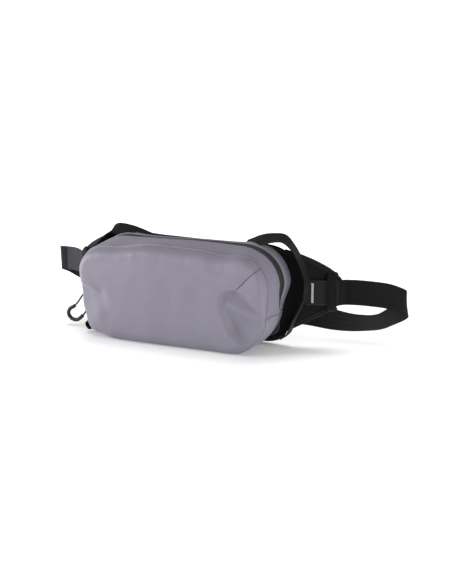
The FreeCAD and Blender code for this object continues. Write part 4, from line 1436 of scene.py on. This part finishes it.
for side, tag in SIDES:
    side_strap("upper", UPPER_RIGHT if side > 0 else UPPER_LEFT, side, tag,
               width=25.0, thick=1.4, start=(150, 38, 161), end=(186, 38, 106), seed=41)
    side_strap("lower", LOWER_STRAP, side, tag,
               width=19.0, thick=1.5, start=(150, 40, 11), end=(186, 40, 60), seed=44)


# ------------------------------------------------------------------- waist belt
def upright(points):
    """Table rows whose width direction is straight up."""
    return [(*point, 0, 0, 1) for point in points]


BELT_ROOT_X = 220.5
BELT_ROOT_Y = float(wing_y(BELT_ROOT_X)) - 5.2
# from the right wing out, folded back behind it and in to the buckle, round its bar and out
BELT_RIGHT = upright([
    (BELT_ROOT_X, BELT_ROOT_Y, 82), (228.5, 79.4, 82.6), (238, 81.6, 83.0),
    (254, 84.5, 83.2), (280, 90, 81.8)]) + [
    (294, 93.8, 79.6, .03, 0, 1), (305, 97.6, 76.3, .04, -.05, 1),
    (311.5, 101.5, 73.3, .04, -.12, 1), (314.5, 106, 70.0, .02, -.22, 1),
    (313.5, 110.5, 65.2, 0, -.34, 1), (309, 113.6, 59.6, 0, -.46, 1),
    (301, 115.8, 53.0, 0, -.6, 1), (291, 117, 46.2, 0, -.75, 1),
    (281, 117.6, 39.8, 0, -.88, 1), (271, 117.6, 34.6, 0, -.92, 1),
    (256, 117, 30.4, 0, -.86, 1), (236, 115.6, 28.8, 0, -.72, 1), (214, 114, 29.0, 0, -.5, 1),
    (190, 112.6, 31, 0, -.28, 1), (165, 112, 34.5, 0, -.1, 1)] + upright([
    (140, 112, 36), (100, 112, 36), (60, 112, 36), (42, 111.8, 36), (32, 110.8, 36),
    (26, 110.5, 36), (22.3, 111.6, 36), (22.3, 114.4, 36), (26, 115.5, 36), (32, 115.2, 36),
    (42, 114.6, 36), (60, 114.4, 36), (100, 114.4, 36), (150, 114.4, 36)])
# from behind the left wing out, folded forward and in to the wing
BELT_LEFT = [
    (-118, 112, 36, 0, 0, 1), (-150, 112, 36, 0, 0, 1), (-176, 112, 37.5, 0, -.08, 1),
    (-200, 111.5, 44, 0, -.2, 1), (-222, 110.5, 53, 0, -.26, 1), (-242, 109, 63, 0, -.26, 1),
    (-259, 107, 72, -.05, -.2, 1), (-269, 104.6, 78.5, -.08, -.1, 1),
    (-275.5, 100.8, 82.5, -.06, 0, 1), (-277.4, 96, 84.6, -.05, 0, 1),
    (-274.4, 90.6, 86.4, -.04, 0, 1), (-269.4, 87.6, 87.2, -.02, 0, 1)] + upright([
    (-261, 86.2, 87.8), (-250, 84.6, 88.2), (-240, 82.2, 87.8), (-229.5, 79.0, 85.8),
    (-BELT_ROOT_X, BELT_ROOT_Y, 83)])
BELT_LEFT_REAR = upright([(x, 112, 36) for x in (-48, -60, -72, -90, -105, -118)])
# loop of the left belt round its buckle bar
BELT_LEFT_END = upright([
    (-50, 112, 36), (-45, 111.8, 36), (-40, 111.6, 36), (-32, 111.1, 36), (-26, 110.5, 36),
    (-22.3, 111.6, 36), (-22.3, 114.4, 36), (-26, 115.5, 36), (-32, 115, 36),
    (-40, 114.6, 36), (-50, 114.3, 36)])


def belt(name, table, steps, mat, hold, **shape):
    rows = spline(table, steps)
    piece = ribbon(name, rows[:, :3], rows[:, 3:], BELT_WIDTH, BELT_THICK, 16, **shape)
    attach(piece, mat, "webbing", **hold)


belt("waist_belt_right", BELT_RIGHT, 9, WEBBING,
     dict(node="belt_right", blend=("wing_right", "bag", (200, 79, 60), (200, 104, 60))),
     wave=0.5, seed=51, curl=0.25, square=0.2)
belt("waist_belt_left", BELT_LEFT, 9, WEBBING_LEFT_PAINTED_LIGHT,
     dict(node="belt_left", blend=("wing_left", "bag", (-200, 79, 60), (-200, 104, 60))),
     wave=0.35, seed=53, curl=0.2, square=0.2)
belt("waist_belt_left_rear", BELT_LEFT_REAR, 8, WEBBING,
     dict(blend=("buckle_half", "bag", (-54, 112, 36), (-104, 112, 36))), curl=0.2)
belt("waist_belt_left_end", BELT_LEFT_END, 7, WEBBING,
     dict(node="belt_left_end", body="buckle_half"))

# crossed box of stitching on each belt loop: name, centre x, y, body
for name, x, y, body in (("belt_end_stitching_left", -44.5, 115.15, "buckle_half"),
                         ("belt_end_stitching_right", 48, 115.45, "bag")):
    box = [(x - 4, y, 20), (x + 4, y, 20), (x + 4, y, 52), (x - 4, y, 52), (x - 4, y, 20),
           (x + 4, y, 52)]
    stitches(name, resample(box, 60), (0.0, 1.0, 0.0), BLACK_THREAD, "webbing",
             pitch=2.6, length=1.9, radius=0.26, lift=0.1, body=body)

# ------------------------------------------------------------ small tapes and loops
# folded pull tape on the buckle, (y, z) at x = -6
PULL_TAPE = [(107.1, 44), (107.1, 50), (107, 56), (106.8, 62), (106.9, 66), (107.9, 69.3),
             (109.5, 70.5), (110.8, 69.3), (111.3, 66), (111.4, 61)]
piece = ribbon("buckle_pull_tape", spline([(-6, y, z) for y, z in PULL_TAPE], 7), (1, 0, 0),
               14.0, 1.1, 8, wave=0.1, seed=8)
attach(piece, WEBBING, "webbing", "buckle_pull_tab", "buckle_half")


def tail_loop():
    """Elastic loop round the belt and its doubled tail, a rounded box in section."""
    def bent(value, power):
        return np.sign(value) * abs(value) ** power

    path = np.array([(95.0, 113.15 + 2.95 * bent(math.cos(a), 0.6),
                      36.0 + 20.3 * bent(math.sin(a), 0.16))
                     for a in np.linspace(0, 2 * math.pi, 96, endpoint=False)])
    path = smoothed(path, 2, closed=True)
    path = resample(np.vstack([path, path[:1]]), 140)
    piece = ribbon("tail_elastic_loop", path, (1, 0, 0), 10.0, 1.0, 6)
    attach(piece, ELASTIC, "elastic", "tail_keeper", "belt_tail_keeper")


tail_loop()

# grab tab at the lower left corner, (x, z) at y = -14
GRAB_TAB = [(-143.4, 29), (-146.4, 26.5), (-151.4, 24), (-155.9, 19), (-154.9, 13.5),
            (-149.9, 11), (-142.9, 14.2), (-138.9, 15.5)]
piece = ribbon("grab_tape", warp(spline([(x, -14.0, z) for x, z in GRAB_TAB], 8)), (0, 1, 0),
               15.0, 1.2, 8, wave=0.15, seed=15)
attach(piece, WEBBING, "webbing", "grab_tab")

# --------------------------------------------------------------------- zip pull
PULL_ORIGIN = np.array([-157.8, 11.0, 67.8])
PULL_DOWN = np.array([-.63, 0, -.777])      # the way the pull hangs
PULL_ASIDE = np.array([-.777, 0, .63])
# cord loop: distance along PULL_DOWN, distance along PULL_ASIDE
PULL_LOOP = [(8.4, 0), (12, 4.4), (28, 6.4), (41, 4.2), (52, 4.8), (63, 8), (70.5, 4.6),
             (72, -4.5), (66.5, -12.5), (55, -15.4), (43, -15.2), (27, -10.6), (12, -4.4)]
LOOP_STEPS = 14


def zip_pull():
    """Cord loop and the grip moulded round its lower end."""
    loop = spline(PULL_LOOP, LOOP_STEPS, closed=True)
    bow = 6.0 * ease((loop[:, 0] - 10.0) / 34.0)
    loop = (PULL_ORIGIN + loop[:, :1] * PULL_DOWN + loop[:, 1:] * PULL_ASIDE
            - bow[:, None] * np.array([1.0, 0.0, 0.0]))
    piece = tube("zip_pull_cord", loop, 1.45, 14, closed=True)
    attach(piece, CORD, "cord", "pull_cord", "zip_pull")
    path = resample(loop[4 * LOOP_STEPS - 1:9 * LOOP_STEPS + 3], 120)
    t = np.linspace(0, 1, 120)
    radius = 2.95 - 0.6 * ridge(t, 0.012) - 0.55 * ridge(1 - t, 0.012)
    # nine shallow ribs, fading at the ends
    ribs = np.cos(t * 2 * math.pi * 9) * ease(t / 0.1) * ease((1 - t) / 0.1)
    piece = tube("zip_pull_grip", path, radius + 0.12 * ribs, 20)
    attach(piece, GRIP, "grip", "pull_tube", "zip_pull")


zip_pull()


# ----------------------------------------------------------------------- studio
def floor_material():
    """Near-white floor that glows more with distance from the bag."""
    m = Material("studio_floor")
    mottle = m.noise(m.coord("Object"), scale=6.0)
    m.set("Specular IOR Level", 0.1)
    m.set("Emission Color", (1, 1, 1, 1))
    distance = m.node("ShaderNodeVectorMath")
    distance.operation = "LENGTH"
    m.feed(distance.inputs[0], m.coord("Object"))
    far = m.climb(distance.outputs["Value"], start=0.45, gain=0.75)
    m.set("Emission Strength", m.add(m.times(far, 0.85), 0.10))
    color = m.ramp(mottle, [(0.0, (0.90, 0.90, 0.905, 1)), (1.0, (0.92, 0.92, 0.92, 1))])
    return m.finish(color, 0.95)


def add_floor():
    material = floor_material()
    z = -0.0004
    mesh = bpy.data.meshes.new("floor")
    mesh.from_pydata([(-14, -8, z), (14, -8, z), (14, 22, z), (-14, 22, z)], [], [(0, 1, 2, 3)])
    mesh.update()
    obj = bpy.data.objects.new("floor", mesh)
    bpy.context.scene.collection.objects.link(obj)
    mesh.materials.append(material)
    return obj


def add_world(light_strength, seen_strength):
    """White world that lights the scene less brightly than the camera sees it."""
    world = bpy.data.worlds.new("studio")
    bpy.context.scene.world = world
    world.use_nodes = True
    nodes, links = world.node_tree.nodes, world.node_tree.links
    lighting = nodes["Background"]
    light_path = nodes.new("ShaderNodeLightPath")
    seen = nodes.new("ShaderNodeBackground")
    for background, strength in ((lighting, light_strength), (seen, seen_strength)):
        background.inputs["Color"].default_value = (1, 1, 1, 1)
        background.inputs["Strength"].default_value = strength
    mix = nodes.new("ShaderNodeMixShader")
    links.new(light_path.outputs["Is Camera Ray"], mix.inputs[0])
    links.new(lighting.outputs[0], mix.inputs[1])
    links.new(seen.outputs[0], mix.inputs[2])
    links.new(mix.outputs[0], nodes["World Output"].inputs["Surface"])


def area_light(name, location, target, size, power):
    light = bpy.data.lights.new(name, "AREA")
    light.shape = "RECTANGLE"
    light.size, light.size_y = size
    light.energy = power
    obj = bpy.data.objects.new(name, light)
    bpy.context.scene.collection.objects.link(obj)
    obj.location = location
    aim = Vector(target) - Vector(location)
    obj.rotation_euler = aim.to_track_quat("-Z", "Y").to_euler()
    return obj


def add_sweep_lamp(floor):
    """Overhead lamp that lights only the floor, so the ground is white and shadows soft."""
    lamp = area_light("sweep_lamp", (-0.12, 0.42, 1.25), target=(0.05, -0.05, 0.0),
                      size=(1.1, 0.8), power=12.5)
    receivers = bpy.data.collections.new("sweep_receivers")
    receivers.objects.link(floor)
    lamp.light_linking.receiver_collection = receivers
    # the belts and their tail pieces cast no shadow from this lamp
    blockers = bpy.data.collections.new("sweep_blockers")
    for obj in bpy.context.scene.objects:
        if obj.type == "MESH" and not obj.name.startswith(
                ("waist_belt", "floor", "belt_tail", "tail_")):
            blockers.objects.link(obj)
    lamp.light_linking.blocker_collection = blockers


def add_camera(target, turn, rise, distance, lens):
    """Camera round to the right of the front by turn and up by rise, in degrees."""
    turn, rise = math.radians(turn), math.radians(rise)
    back = Vector((math.sin(turn) * math.cos(rise), -math.cos(turn) * math.cos(rise),
                   math.sin(rise)))
    camera = bpy.data.cameras.new("camera")
    obj = bpy.data.objects.new("camera", camera)
    bpy.context.scene.collection.objects.link(obj)
    camera.lens = lens
    camera.sensor_width = 36.0
    camera.clip_end = 60.0
    obj.location = Vector(target) + back * distance
    obj.rotation_euler = (-back).to_track_quat("-Z", "Y").to_euler()
    bpy.context.scene.camera = obj


floor = add_floor()
bpy.context.scene.view_settings.view_transform = "Standard"
add_world(light_strength=0.44, seen_strength=1.05)
area_light("key_left", (-1.55, -1.25, 0.7), target=(0, 0, 0.08), size=(0.8, 1.0), power=19.0)
area_light("rim_left", (-1.9, -0.35, 0.4), target=(-0.1, 0, 0.08), size=(0.5, 0.7), power=16.5)
area_light("fill_right", (1.7, -0.35, 0.6), target=(0.05, 0, 0.08), size=(1.0, 1.0), power=12.5)
area_light("top_soft", (0.1, -0.3, 1.7), target=(0.05, 0, 0.05), size=(1.1, 1.1), power=2.0)
add_sweep_lamp(floor)
add_camera(target=(0.072, 0, 0.083), turn=27, rise=13, distance=2.2, lens=91.9)
